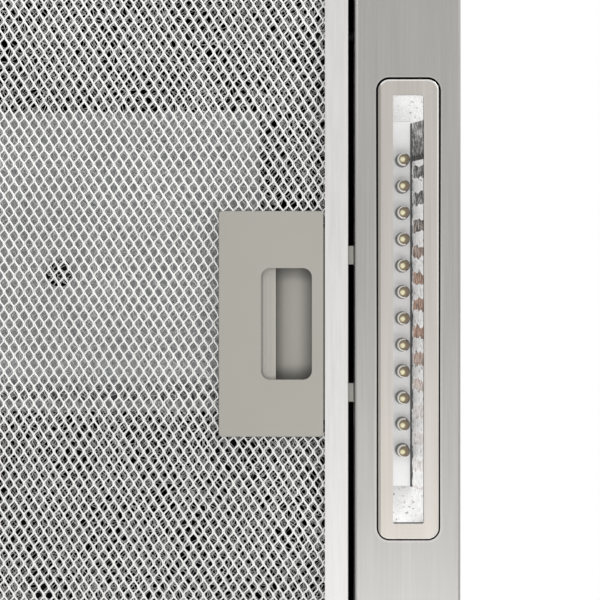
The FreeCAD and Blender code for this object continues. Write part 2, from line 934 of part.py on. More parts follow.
def wheel():
    """Left squirrel-cage wheel with forward curved blades."""
    way = Vector(-1, 0, 0)

    def disc(radius, start, length):
        return Part.makeCylinder(radius, length, Vector(-start, shaft_y, shaft_z), way)

    plate_disc = disc(wheel_radius, wheel_start, wheel_plate)
    hub = disc(hub_radius, hub_x - hub_half, 2 * hub_half)
    ring = disc(wheel_radius, wheel_end - wheel_plate, wheel_plate)
    ring = ring.cut(disc(wheel_radius - wheel_ring, wheel_end - 2 * wheel_plate, 4 * wheel_plate))
    root, tip = wheel_radius - wheel_ring, wheel_radius - 0.6

    def at(radius, degrees):
        angle = math.radians(degrees)
        y = shaft_y + radius * math.cos(angle)
        return Vector(-wheel_start, y, shaft_z + radius * math.sin(angle))

    spread = math.degrees(blade_thick / wheel_radius)
    middle = (root + tip) / 2
    sides = [
        Part.Arc(at(root, a), at(middle, a + blade_lean * 0.25), at(tip, a + blade_lean)).toShape()
        for a in (0, spread)
    ]
    ends = [
        Part.makeLine(at(root, 0), at(root, spread)),
        Part.makeLine(at(tip, blade_lean), at(tip, blade_lean + spread)),
    ]
    outline = Part.Wire(Part.__sortEdges__(sides + ends))
    blade = Part.Face(outline).extrude(way * wheel_length)
    blades = []
    for i in range(blade_count):
        turned = blade.copy()
        turned.rotate(Vector(0, shaft_y, shaft_z), way, i * 360 / blade_count)
        blades.append(turned)
    bore = disc(shaft_radius, wheel_start - 20, 60)
    screw_hole = rod((-hub_x, shaft_y, shaft_z), (0, 0, -1), set_screw, 20)
    return join(plate_disc, hub, ring, *blades).cut([bore, screw_hole])


def shaft():
    length = 2 * (hub_x + hub_half + 3)
    shape = rod((-length / 2, shaft_y, shaft_z), (1, 0, 0), shaft_radius, length)
    return shape.makeChamfer(0.6, [e for e in shape.Edges if e.Curve.TypeId == "Part::GeomCircle"])


def set_screws():
    start, length = shaft_radius, hub_radius - shaft_radius - 1
    made = [
        rod((side * hub_x, shaft_y, shaft_z - start), (0, 0, -1), set_screw, length)
        for side in (-1, 1)
    ]
    sockets = [
        rod((side * hub_x, shaft_y, shaft_z - start - length + 2), (0, 0, -1), 0.9, 4)
        for side in (-1, 1)
    ]
    return Part.makeCompound([m.cut(s) for m, s in zip(made, sockets)])


def tube(radius, inner, half_length):
    outer = rod((-half_length, shaft_y, shaft_z), (1, 0, 0), radius, 2 * half_length)
    return outer.cut(rod((-half_length - 1, shaft_y, shaft_z), (1, 0, 0), inner, 2 * half_length + 2))


def motor_housing():
    can = rod((-motor_half, shaft_y, shaft_z), (1, 0, 0), motor_radius, 2 * motor_half)
    rims = [e for e in can.Edges if e.Curve.TypeId == "Part::GeomCircle"]
    can = can.makeFillet(can_round, rims)
    bell = motor_half + bell_length
    boss = bell + boss_length
    bells = rod((-bell, shaft_y, shaft_z), (1, 0, 0), bell_radius, 2 * bell)
    bosses = rod((-boss, shaft_y, shaft_z), (1, 0, 0), boss_radius, 2 * boss)
    hollow = motor_half - motor_wall
    inside = rod((-hollow, shaft_y, shaft_z), (1, 0, 0), motor_radius - motor_wall, 2 * hollow)
    rims = [e for e in inside.Edges if e.Curve.TypeId == "Part::GeomCircle"]
    inside = inside.makeFillet(can_inner_round, rims)
    bore = rod((-boss - 1, shaft_y, shaft_z), (1, 0, 0), shaft_radius + running_gap, 2 * boss + 2)
    lead = rod((motor_cable_x, shaft_y, motor_cable_z), (0, 1, 0), cable_radius + lead_gap, 60)
    return join(can, bells, bosses).cut([inside, bore, lead])


def motor_stator():
    return tube(motor_radius - motor_wall, stator_bore, stator_half)


def motor_rotor():
    return tube(rotor_radius, shaft_radius, rotor_half)


def motor_cradle():
    """Band under the motor with two legs on the casing floor."""
    start = Vector(-cradle_half, shaft_y, shaft_z)
    way = Vector(1, 0, 0)
    outer = motor_radius + cradle_sheet
    band = Part.makeCylinder(outer, 2 * cradle_half, start, way)
    band = band.cut(Part.makeCylinder(motor_radius, 2 * cradle_half, start, way))
    lower = box(-cradle_half, cradle_half, shaft_y - 60, shaft_y + 60, shaft_z - 60, shaft_z)
    floor = casing_bottom + casing_sheet
    legs = []
    for side in (-1, 1):
        top = shaft_z - math.sqrt((outer - 0.6) ** 2 - cradle_leg**2)
        a, b = sorted((shaft_y + side * cradle_leg, shaft_y + side * (cradle_leg - cradle_sheet)))
        legs.append(box(-cradle_half, cradle_half, a, b, floor, top))
        a, b = sorted((a if side > 0 else b, shaft_y + side * (cradle_leg + cradle_foot)))
        legs.append(box(-cradle_half, cradle_half, a, b, floor, floor + cradle_sheet))
    return join(band.common(lower), *legs).cut(shank_holes(cradle_places))


# ---------------------------------------------------------------- duct collar
def collar_block(edge, z0, z1):
    x, y = collar_length / 2 - edge, collar_depth / 2 - edge
    return box(-x, x, duct_y - y, duct_y + y, z0, z1)


def duct_collar():
    base = -steel - collar_sheet
    flange = collar_block(-collar_flange, base, -steel)
    tube_part = collar_block(0, base, collar_rise)
    low = flap_z - flap_thick / 2 - 0.1
    shelf = collar_block(0, low - 1.0, low)
    inside = collar_block(collar_sheet, base - 1, collar_rise + 1)
    shelf_inside = collar_block(collar_sheet + ledge, low - 2, low + 1)
    rod_hole = rod((-collar_length, duct_y, flap_z), (1, 0, 0), rod_radius, 2 * collar_length)
    body = join(flange, tube_part).cut(inside)
    shape = join(body, shelf.cut(shelf_inside))
    return shape.cut([rod_hole] + shank_holes(collar_places, rivet_radius))


def damper_rod():
    length = collar_length / 2 + rod_out
    return rod((-length, duct_y, flap_z), (1, 0, 0), rod_radius, 2 * length)


def knuckle(x, radius):
    return rod((x - knuckle_length / 2, duct_y, flap_z), (1, 0, 0), radius, knuckle_length)


def flap(side):
    """Half of the damper. side is -1 for the front flap and 1 for the rear one."""
    x = collar_length / 2 - collar_sheet - flap_gap
    start = duct_y + side * (knuckle_radius - 0.8)
    edge = duct_y + side * (collar_depth / 2 - collar_sheet - flap_gap)
    y0, y1 = sorted((start, edge))
    sheet = box(-x, x, y0, y1, flap_z - flap_thick / 2, flap_z + flap_thick / 2)
    own = [(k * 2 + (side + 1) / 2 - 1.5) * knuckle_spread / 2 for k in range(3)]
    other = [(k * 2 + (1 - side) / 2 - 1.5) * knuckle_spread / 2 for k in range(3)]
    own = [v for v in own if abs(v) < x - knuckle_length]
    other = [v for v in other if abs(v) < x - knuckle_length]
    clear = []
    for v in other:
        a, b = sorted((duct_y, duct_y + side * (knuckle_radius + flap_clear)))
        reach = knuckle_length / 2 + flap_clear
        clear.append(box(v - reach, v + reach, a, b, flap_z - 5, flap_z + 5))
    shape = join(sheet, *[knuckle(v, knuckle_radius) for v in own])
    hole = rod((-x - 1, duct_y, flap_z), (1, 0, 0), rod_radius + rod_gap, 2 * x + 2)
    return shape.cut(clear + [hole])


# ---------------------------------------------------------------- controls
def button_x(index):
    return (index - (len(button_names) - 1) / 2) * button_pitch


def button(index):
    x = button_x(index)
    y0 = front - panel_thick - button_proud
    y1 = y0 + button_proud + button_depth
    cap = box(
        x - button_width / 2,
        x + button_width / 2,
        y0,
        y1,
        panel_z - button_height / 2,
        panel_z + button_height / 2,
    )
    cap = cap.makeFillet(button_corner, edges_along(cap, Vector(0, 1, 0)))
    cap = cap.makeFillet(button_round, [e for e in cap.Edges if abs(e.BoundBox.YMax - y0) < 1e-6])
    stem = box(
        x - stem_width / 2,
        x + stem_width / 2,
        y1 - 1,
        y1 + stem_length,
        panel_z - stem_height / 2,
        panel_z + stem_height / 2,
    )
    return join(cap, stem)


def button_pocket(x, width, height, y0, y1):
    return box(
        x - width / 2 - button_gap,
        x + width / 2 + button_gap,
        y0,
        y1,
        panel_z - height / 2 - button_gap,
        panel_z + height / 2 + button_gap,
    )


def control_panel():
    y0 = front - panel_thick
    x, z = panel_length / 2, panel_height / 2
    shape = box(-x, x, y0, front, panel_z - z, panel_z + z)
    shape = shape.makeFillet(panel_corner, edges_along(shape, Vector(0, 1, 0)))
    shape = shape.makeFillet(
        panel_round, [e for e in shape.Edges if abs(e.BoundBox.YMax - y0) < 1e-6]
    )
    holes = [
        button_pocket(button_x(i), button_width, button_height, y0 - 1, front + 1)
        for i in range(len(button_names))
    ]
    return shape.cut(holes)


def switch_block():
    y0 = front + steel
    y1 = front + block_depth
    x = button_x(len(button_names) - 1) + button_width / 2 + block_border
    z = button_height / 2 + block_border
    shape = box(-x, x, y0, y1, panel_z - z, panel_z + z)
    cap_end = front - panel_thick + button_depth + button_travel + pocket_past
    stem_end = cap_end + stem_length
    holes = []
    for i in range(len(button_names)):
        holes.append(button_pocket(button_x(i), button_width, button_height, y0 - 1, cap_end))
        holes.append(button_pocket(button_x(i), stem_width, stem_height, y0, stem_end))
    return shape.cut(holes)


# ---------------------------------------------------------------- wiring
def wiring_box():
    x0, x1, y0, y1 = wire_box
    top = -steel
    low = top - wire_box_height
    sheet = casing_sheet
    shell = box(x0, x1, y0, y1, low, top)
    hollow = box(x0 + sheet, x1 - sheet, y0 + sheet, y1 - sheet, low + sheet, top + 1)
    flange = box(x0 - wire_box_flange, x1 + wire_box_flange, y0, y1, top - sheet, top)
    cable_holes = [rod((x0 - 3, wire_line_y, wire_line_z), (1, 0, 0), cable_radius, 6)]
    cable_holes += [rod((x1 - 3, wire_line_y, wire_line_z), (1, 0, 0), cable_radius, 6)]
    cable_holes += [rod((x1 - 3, control_y, wire_line_z), (1, 0, 0), cable_radius, 6)]
    cable_holes += [rod((motor_entry_x, y0 - 3, wire_line_z), (0, 1, 0), cable_radius, 6)]
    shape = join(shell, flange).cut([hollow] + cable_holes)
    return shape.cut(shank_holes(box_places, rivet_radius))


def led_driver():
    x0, y0 = wire_box[0] + driver_place[0], wire_box[2] + driver_place[1]
    z0 = -steel - wire_box_height + casing_sheet
    top = z0 + driver_size[2]
    shape = plate(x0, x0 + driver_size[0], y0, y0 + driver_size[1], z0, top, 3)
    return shape.makeFillet(1.0, [e for e in shape.Edges if abs(e.BoundBox.ZMin - top) < 1e-6])


def capacitor():
    z0 = -steel - wire_box_height + casing_sheet
    x, y = wire_box[0] + capacitor_place[0], wire_box[2] + capacitor_place[1]
    start = (x, y, z0 + capacitor_radius)
    shape = rod(start, (0, 1, 0), capacitor_radius, capacitor_length)
    return shape.makeFillet(2.0, [e for e in shape.Edges if e.Curve.TypeId == "Part::GeomCircle"])


def wire_joints():
    z0 = -steel - wire_box_height + casing_sheet
    made = []
    for i in range(3):
        x = wire_box[0] + wire_joint_place[0] + wire_joint_pitch * i
        at = Vector(x, wire_box[2] + wire_joint_place[1], z0)
        made.append(Part.makeCone(*wire_joint_radii, wire_joint_high, at, Vector(0, 0, 1)))
    return Part.makeCompound(made)


def cable(points, turn=cable_bend):
    """A round cable through these points, with a bend at each corner between."""
    line = [Vector(*p) for p in points]
    pieces = []
    last = line[0]
    for i in range(1, len(line) - 1):
        back = (line[i - 1] - line[i]).normalize()
        ahead = (line[i + 1] - line[i]).normalize()
        start = line[i] + back * turn
        end = line[i] + ahead * turn
        centre = start + ahead * turn
        middle = centre + (line[i] - centre).normalize() * turn
        pieces.append(Part.makeLine(last, start))
        pieces.append(Part.Arc(start, middle, end).toShape())
        last = end
    pieces.append(Part.makeLine(last, line[-1]))
    way = (line[1] - line[0]).normalize()
    ring = Part.Wire([Part.makeCircle(cable_radius, line[0], way)])
    return Part.Wire(pieces).makePipeShell([ring], True, False)


def lamp_cable_left():
    x, y, z = lamp_x, board_y(), board_z + board_thick + tray_wall
    return cable(
        [(x, y, z), (x, y, wire_line_z), (x, wire_line_y, wire_line_z)]
        + [(wire_box[0] + cable_in, wire_line_y, wire_line_z)]
    )


def lamp_cable_right():
    x, y, z = -lamp_x, board_y(), board_z + board_thick + tray_wall
    return cable(
        [(x, y, z), (x, y, wire_line_z), (x, wire_line_y, wire_line_z)]
        + [(wire_box[1] - cable_in, wire_line_y, wire_line_z)]
    )


def motor_cable():
    y0 = shaft_y + motor_radius - 8
    y1 = casing_rear + motor_cable_run
    return cable(
        [
            (motor_cable_x, y0, motor_cable_z),
            (motor_cable_x, y1, motor_cable_z),
            (motor_entry_x, y1, motor_cable_z),
            (motor_entry_x, y1, wire_line_z),
            (motor_entry_x, wire_box[2] + motor_entry_in, wire_line_z),
        ],
        motor_cable_bend,
    )


def control_cable():
    start, x = control_cable_x
    y = front + block_depth
    z = panel_z
    return cable(
        [
            (start, y, z),
            (start, y + control_cable_run, z),
            (x, y + control_cable_run, z),
            (x, control_y, z),
            (x, control_y, wire_line_z),
            (wire_box[1] - cable_in, control_y, wire_line_z),
        ]
    )


def casing_grommet():
    middle = (motor_cable_x, casing_rear - 2.4, motor_cable_z)
    flange = rod(middle, (0, 1, 0), grommet_radius + grommet_lip, 4)
    at = (middle[0], casing_rear - casing_sheet, middle[2])
    waist = rod(at, (0, 1, 0), grommet_waist, casing_sheet)
    waist = waist.cut(rod((middle[0], casing_rear - 2, middle[2]), (0, 1, 0), grommet_radius, 4))
    hole = rod((middle[0], casing_rear - 5, middle[2]), (0, 1, 0), cable_radius, 10)
    return flange.cut([waist, hole])


# ---------------------------------------------------------------- build and write
def both(shape):
    """A left piece and its mirror image as one group."""
    return Part.makeCompound(list(shape.Solids) + list(mirrored(shape).Solids))


def group(*shapes):
    return Part.makeCompound([solid for shape in shapes for solid in shape.Solids])


parts["left_side_panel"] = left_side_panel()
parts["right_side_panel"] = mirrored(parts["left_side_panel"])
parts["canopy"] = canopy()
parts["back_panel"] = back_panel()
parts["rear_duct_cover"] = rear_duct_cover()
parts["corner_plates"] = corner_plates()
parts["centre_rail"] = centre_rail()
parts["screws"] = screws(corner_places + rail_places + cradle_places)
sheet_rivets = rivets(casing_places + collar_places + box_places, casing_sheet + steel)
parts["rivets"] = group(sheet_rivets, rivets(cover_places, 2 * steel))

parts["left_filter_frame"] = filter_frame()
mesh_end = filter_thick - filter_sheet
parts["left_face_mesh"] = mesh_layer(mesh_start, mesh_start + mesh_sheet)
parts["left_inner_mesh"] = group(*[mesh_layer(z, z + inner_sheet) for z in inner_layers])
parts["left_back_mesh"] = mesh_layer(mesh_end - mesh_sheet, mesh_end)
parts["left_latch_body"] = latch_body()
parts["left_latch_cover"] = latch_cover()
parts["left_latch_slider"] = latch_slider()
parts["left_latch_springs"] = latch_springs()
parts["left_wheel"] = wheel()
for name in [n for n in parts if n.startswith("left_") and n != "left_side_panel"]:
    parts["right_" + name[5:]] = mirrored(parts[name])

parts["lamp_bezels"] = both(lamp_bezel())
parts["lamp_lenses"] = both(lamp_lens())
parts["lamp_trays"] = both(lamp_tray())
parts["lamp_boards"] = both(lamp_board())
parts["lamp_leds"] = both(lamp_leds())

parts["blower_casing"] = blower_casing()
parts["casing_ends"] = both(casing_end())
parts["shaft"] = shaft()
parts["set_screws"] = set_screws()
parts["motor_housing"] = motor_housing()
parts["motor_stator"] = motor_stator()
parts["motor_rotor"] = motor_rotor()
parts["motor_cradle"] = motor_cradle()
parts["duct_collar"] = duct_collar()
parts["damper_rod"] = damper_rod()
parts["front_flap"] = flap(-1)
parts["rear_flap"] = flap(1)
parts["control_panel"] = control_panel()
parts["switch_block"] = switch_block()
for i, name in enumerate(button_names):
    parts["button_" + name] = button(i)
parts["wiring_box"] = wiring_box()
parts["led_driver"] = led_driver()
parts["capacitor"] = capacitor()
parts["wire_joints"] = wire_joints()
parts["lamp_cables"] = group(lamp_cable_left(), lamp_cable_right())
parts["motor_cable"] = motor_cable()
parts["control_cable"] = control_cable()
parts["casing_grommet"] = casing_grommet()

os.makedirs("parts", exist_ok=True)
for name, shape in parts.items():
    shape.exportStep("parts/" + name + ".step")
    print(name, shape.isValid(), len(shape.Solids), round(shape.Volume))
print(len(parts), "nodes")
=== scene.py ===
import math

import bmesh
import bpy
from mathutils import Matrix, Vector


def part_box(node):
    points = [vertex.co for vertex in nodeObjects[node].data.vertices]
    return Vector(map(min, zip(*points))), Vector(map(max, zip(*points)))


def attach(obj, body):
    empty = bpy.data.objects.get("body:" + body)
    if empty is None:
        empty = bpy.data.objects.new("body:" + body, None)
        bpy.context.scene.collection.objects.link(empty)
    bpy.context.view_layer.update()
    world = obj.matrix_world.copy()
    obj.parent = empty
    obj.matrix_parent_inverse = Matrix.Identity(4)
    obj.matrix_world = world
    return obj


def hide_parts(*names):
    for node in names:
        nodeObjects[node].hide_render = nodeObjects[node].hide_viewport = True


# Under cabinet range hood, seen from below one end. Metres, +Z up, +Y to the wall.

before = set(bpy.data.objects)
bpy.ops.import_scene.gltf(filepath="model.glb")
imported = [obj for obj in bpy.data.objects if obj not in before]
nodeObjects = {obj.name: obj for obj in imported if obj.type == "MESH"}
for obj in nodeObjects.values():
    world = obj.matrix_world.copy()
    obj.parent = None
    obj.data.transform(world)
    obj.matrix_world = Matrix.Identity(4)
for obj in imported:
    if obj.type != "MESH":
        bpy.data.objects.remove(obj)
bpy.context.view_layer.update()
print("frame loaded:", len(nodeObjects), "nodes")

mm = 0.001


# Small helpers for materials
def startMaterial(name, **sockets):
    material = bpy.data.materials.new(name)
    material.use_nodes = True
    shader = material.node_tree.nodes["Principled BSDF"]
    for socket, value in sockets.items():
        shader.inputs[socket.replace("_", " ")].default_value = value
    return material, material.node_tree.nodes, material.node_tree.links, shader


def placeTexture(nodes, links, stretch, turn=(0, 0, 0)):
    place = nodes.new("ShaderNodeTexCoord")
    mapping = nodes.new("ShaderNodeMapping")
    mapping.inputs["Scale"].default_value = stretch
    mapping.inputs["Rotation"].default_value = turn
    links.new(place.outputs["Object"], mapping.inputs["Vector"])
    return mapping.outputs["Vector"]


def addNoise(nodes, links, vector, scale, detail=3.0, rough=0.5):
    noise = nodes.new("ShaderNodeTexNoise")
    noise.inputs["Scale"].default_value = scale
    noise.inputs["Detail"].default_value = detail
    noise.inputs["Roughness"].default_value = rough
    links.new(vector, noise.inputs["Vector"])
    return noise.outputs["Fac"]


def addRamp(nodes, links, source, stops):
    ramp = nodes.new("ShaderNodeValToRGB")
    elements = ramp.color_ramp.elements
    while len(elements) < len(stops):
        elements.new(0.5)
    for element, (place, color) in zip(elements, stops):
        element.position = place
        element.color = (*color, 1.0)
    links.new(source, ramp.inputs["Fac"])
    return ramp.outputs["Color"]


def addBlend(nodes, links, source, dark, light):
    return addRamp(nodes, links, source, [(0.3, dark), (0.7, light)])


def addRange(nodes, links, source, low, high, fromLow=0.3, fromHigh=0.7):
    spread = nodes.new("ShaderNodeMapRange")
    for socket, value in (("From Min", fromLow), ("From Max", fromHigh), ("To Min", low), ("To Max", high)):
        spread.inputs[socket].default_value = value
    links.new(source, spread.inputs["Value"])
    return spread.outputs["Result"]


def plug(links, socket, value):
    if isinstance(value, (int, float)):
        socket.default_value = value
    elif isinstance(value, tuple):
        socket.default_value = (*value, 1.0)
    else:
        links.new(value, socket)


def addMix(nodes, links, first, second, share, mode="MULTIPLY"):
    mix = nodes.new("ShaderNodeMix")
    mix.data_type = "RGBA"
    mix.blend_type = mode
    for socket, value in ((mix.inputs["Factor"], share), (mix.inputs[6], first), (mix.inputs[7], second)):
        plug(links, socket, value)
    return mix.outputs[2]


def mathFor(nodes, links):
    # A short way to write a chain of math nodes
    def calc(operation, *values):
        node = nodes.new("ShaderNodeMath")
        node.operation = operation
        for socket, value in zip(node.inputs, values):
            plug(links, socket, value)
        return node.outputs[0]

    return calc


def splitVector(nodes, links, vector):
    parts = nodes.new("ShaderNodeSeparateXYZ")
    links.new(vector, parts.inputs[0])
    return parts.outputs


def ownPlace(nodes, links):
    return splitVector(nodes, links, nodes.new("ShaderNodeTexCoord").outputs["Object"])


def facingWay(nodes, links):
    return splitVector(nodes, links, nodes.new("ShaderNodeNewGeometry").outputs["Normal"])


def openMaterial(material):
    # A finished material's parts, with the tone it has so far
    nodes, links = material.node_tree.nodes, material.node_tree.links
    shader = nodes["Principled BSDF"]
    return nodes, links, shader, shader.inputs["Base Color"].links[0].from_socket


def addBump(nodes, links, shader, height, strength, distance):
    bump = nodes.new("ShaderNodeBump")
    bump.inputs["Strength"].default_value = strength
    bump.inputs["Distance"].default_value = distance
    links.new(height, bump.inputs["Height"])
    links.new(bump.outputs["Normal"], shader.inputs["Normal"])


# Metals
grainLook = {
    "broadShare": 0.06,
    "smudge": (9, 9, 9),
    "smudgeRough": (-0.03, 0.05),
    "tint": (0.93, 0.92, 0.91),
    "tintShare": 0.7,
    "depth": 0.0002,
}


def brushedMetal(name, dark, light, stretch, roughLow=0.28, roughHigh=0.42, bump=0.05, metallic=1.0):
    material, nodes, links, shader = startMaterial(name, Metallic=metallic)
    wide = [s * grainLook["broadShare"] for s in stretch]
    grain = addNoise(nodes, links, placeTexture(nodes, links, stretch), 1.0, 6.0, 0.7)
    broad = addNoise(nodes, links, placeTexture(nodes, links, wide), 1.0, 2.0)
    smudge = addNoise(nodes, links, placeTexture(nodes, links, grainLook["smudge"]), 1.0, 4.0, 0.6)
    tone = addBlend(nodes, links, grain, dark, light)
    tint = addBlend(nodes, links, broad, grainLook["tint"], (1.0, 1.0, 1.0))
    links.new(addMix(nodes, links, tone, tint, grainLook["tintShare"]), shader.inputs["Base Color"])
    fine = addRange(nodes, links, grain, roughLow, roughHigh)
    rubbed = addRange(nodes, links, smudge, *grainLook["smudgeRough"])
    links.new(mathFor(nodes, links)("ADD", fine, rubbed), shader.inputs["Roughness"])
    addBump(nodes, links, shader, grain, bump, grainLook["depth"])
    return material


# Painted shade on the inner faces of the outer sheets: how far a face has to turn to count as inner, above
# the hood's rim
insideShadeLook = {
    "floorZ": -0.118,
    "down": -0.2,
    "inward": -0.1,
    "backward": 0.5,
    "tone": (0.006, 0.006, 0.006),
}


def paintInsideShade(material):
    # Painted shade: inner faces of the outer sheets are toned near black for the hood's unlit inside; outer
    # ones keep their finish
    nodes, links, shader, base = openMaterial(material)
    calc = mathFor(nodes, links)
    spot = ownPlace(nodes, links)
    facing = facingWay(nodes, links)
    down = calc("LESS_THAN", facing["Z"], insideShadeLook["down"])
    inward = calc("LESS_THAN", calc("MULTIPLY", facing["X"], spot["X"]), insideShadeLook["inward"])
    backward = calc("GREATER_THAN", facing["Y"], insideShadeLook["backward"])
    inner = calc("MAXIMUM", calc("MAXIMUM", down, inward), backward)
    insideShadeMask = calc("MULTIPLY", inner, calc("GREATER_THAN", spot["Z"], insideShadeLook["floorZ"]))
    links.new(addMix(nodes, links, base, insideShadeLook["tone"], insideShadeMask, "MIX"), shader.inputs["Base Color"])
    return material


# The lamp bezel's outline, in metres: painted shadow darkens the seam round it, and a painted highlight lies
# on its own rounded rim
bezelLook = {
    "middleX": 0.35215,
    "middleY": -0.0636,
    "halfWidth": 0.01325,
    "halfLength": 0.1,
    "corner": 0.005,
    "seam": 0.0009,
    "seamFront": 0.0004,
    "seamFade": (-0.09, 0.09),
    "black": (0.004, 0.004, 0.004),
    "pressed": 0.0015,
    "pressedTone": (0.5, 0.49, 0.48),
    "pressedShare": 0.45,
    "rim": 0.0008,
    "rimFade": (-0.05, 0.08),
    "rimTone": (0.74, 0.73, 0.71),
    "shadow": 0.0015,
    "shadowEdge": 0.0012,
    "shadowTone": (0.3, 0.28, 0.26),
    "wallDepth": 0.0003,
    "wallFacing": -0.35,
}


def bezelDistance(nodes, links):
    # How far a point lies outside the bezel's rounded outline
    calc = mathFor(nodes, links)
    spot = ownPlace(nodes, links)
    across = calc("SUBTRACT", calc("ABSOLUTE", spot["X"]), bezelLook["middleX"])
    along = calc("SUBTRACT", spot["Y"], bezelLook["middleY"])
    outX = calc("SUBTRACT", calc("ABSOLUTE", across), bezelLook["halfWidth"] - bezelLook["corner"])
    outY = calc("SUBTRACT", calc("ABSOLUTE", along), bezelLook["halfLength"] - bezelLook["corner"])
    squareX = calc("POWER", calc("MAXIMUM", outX, 0.0), 2.0)
    squareY = calc("POWER", calc("MAXIMUM", outY, 0.0), 2.0)
    inside = calc("MINIMUM", calc("MAXIMUM", outX, outY), 0.0)
    outside = calc("SQRT", calc("ADD", squareX, squareY))
    return calc("SUBTRACT", calc("ADD", outside, inside), bezelLook["corner"]), across, along


def paintSeamShadowAndHighlight(material):
    # Painted shadow: the opening's edge is black where the seam's shade falls, and a painted highlight
    # brightens the sheet beside it
    nodes, links, shader, base = openMaterial(material)
    calc = mathFor(nodes, links)
    away, _, along = bezelDistance(nodes, links)
    pressed = calc("MULTIPLY", calc("LESS_THAN", away, bezelLook["pressed"]), bezelLook["pressedShare"])
    width = addRange(nodes, links, along, bezelLook["seamFront"], bezelLook["seam"], *bezelLook["seamFade"])
    seam = calc("LESS_THAN", away, width)
    bright = addMix(nodes, links, base, bezelLook["pressedTone"], pressed, "MIX")
    links.new(addMix(nodes, links, bright, bezelLook["black"], seam, "MIX"), shader.inputs["Base Color"])
    return material


def paintBezelRimHighlightAndShade(material):
    # Painted highlight on the rim where it turns forwards and outwards, painted shade on its inner side, and
    # black painted shade on the wall down into the seam
    nodes, links, shader, base = openMaterial(material)
    calc = mathFor(nodes, links)
    away, across, along = bezelDistance(nodes, links)
    upright = calc("GREATER_THAN", facingWay(nodes, links)["Z"], bezelLook["wallFacing"])
    wall = calc("MULTIPLY", upright, calc("GREATER_THAN", away, -bezelLook["wallDepth"]))
    innerSide = calc("LESS_THAN", across, bezelLook["shadowEdge"] - bezelLook["halfWidth"])
    rim = calc("MULTIPLY", calc("GREATER_THAN", away, -bezelLook["rim"]), calc("SUBTRACT", 1.0, innerSide))
    rim = calc("MULTIPLY", rim, addRange(nodes, links, along, 0.0, 1.0, *bezelLook["rimFade"]))
    shadow = calc("MULTIPLY", calc("GREATER_THAN", away, -bezelLook["shadow"]), innerSide)
    tone = base
    for share, color in ((shadow, "shadowTone"), (rim, "rimTone"), (wall, "black")):
        tone = addMix(nodes, links, tone, bezelLook[color], share, "MIX")
    links.new(tone, shader.inputs["Base Color"])
    return material


zincLook = {
    "spangle": (150, 150, 150),
    "haze": (14, 14, 14),
    "dark": (0.36, 0.365, 0.37),
    "light": (0.44, 0.445, 0.45),
    "dull": (0.86, 0.87, 0.88),
    "dullShare": 0.8,
    "rough": (0.38, 0.58),
}


def galvanised(name):
    material, nodes, links, shader = startMaterial(name, Metallic=0.85)
    cells = nodes.new("ShaderNodeTexVoronoi")
    cells.inputs["Scale"].default_value = 1.0
    links.new(placeTexture(nodes, links, zincLook["spangle"]), cells.inputs["Vector"])
    haze = addNoise(nodes, links, placeTexture(nodes, links, zincLook["haze"]), 1.0, 5.0, 0.6)
    stops = [(0.1, zincLook["dark"]), (0.9, zincLook["light"])]
    spangle = addRamp(nodes, links, cells.outputs["Color"], stops)
    dull = addBlend(nodes, links, haze, zincLook["dull"], (1, 1, 1))
    links.new(addMix(nodes, links, spangle, dull, zincLook["dullShare"]), shader.inputs["Base Color"])
    links.new(addRange(nodes, links, haze, *zincLook["rough"]), shader.inputs["Roughness"])
    addBump(nodes, links, shader, haze, 0.08, 0.0004)
    return material


def plainMetal(name, dark, light, roughLow, roughHigh, scale=160.0, metallic=1.0, bump=0.04):
    material, nodes, links, shader = startMaterial(name, Metallic=metallic)
    vector = placeTexture(nodes, links, (scale, scale, scale))
    grain = addNoise(nodes, links, vector, 1.0, 5.0, 0.6)
    wear = addNoise(nodes, links, placeTexture(nodes, links, (22, 22, 22)), 1.0, 3.0)
    links.new(addBlend(nodes, links, wear, dark, light), shader.inputs["Base Color"])
    links.new(addRange(nodes, links, grain, roughLow, roughHigh), shader.inputs["Roughness"])
    addBump(nodes, links, shader, grain, bump, 0.0001)
    return material


# Plastics
def shadeCorners(material, reach, deepest):
    # Painted shade: darker where the surface is hemmed in, as soft light leaves it
    nodes, links, shader, base = openMaterial(material)
    hemmed = nodes.new("ShaderNodeAmbientOcclusion")
    hemmed.samples = 6
    hemmed.inputs["Distance"].default_value = reach
    shade = addRange(nodes, links, hemmed.outputs["AO"], deepest, 1.0, 0.35, 0.95)
    tone = nodes.new("ShaderNodeCombineColor")
    for channel in tone.inputs[:3]:
        links.new(shade, channel)
    links.new(addMix(nodes, links, base, tone.outputs[0], 1.0), shader.inputs["Base Color"])
    return material


def mouldedPlastic(name, dark, light, roughLow=0.42, roughHigh=0.55, grainScale=2200.0, bump=0.05):
    material, nodes, links, shader = startMaterial(name)
    grain = addNoise(nodes, links, placeTexture(nodes, links, (grainScale,) * 3), 1.0, 2.0)
    cloud = addNoise(nodes, links, placeTexture(nodes, links, (18, 18, 18)), 1.0, 3.0)
    links.new(addBlend(nodes, links, cloud, dark, light), shader.inputs["Base Color"])
    links.new(addRange(nodes, links, grain, roughLow, roughHigh), shader.inputs["Roughness"])
    addBump(nodes, links, shader, grain, bump, 0.00005)
    return material


# Lamp: positions shared by the foil and the LEDs, in metres from the frame's origin
lampLook = {
    "ledMiddle": -0.0619,
    "ledPitch": 0.0117,
    "seamShadeZ": -0.12805,
    "wallX": 0.3540,
    "patchX": 0.3552,
    "wallFrom": -0.079,
    "wallTo": 0.0825,
    "darkFrom": 0.0655,
    "edgeFrom": -0.092,
    "edgeTo": 0.092,
}

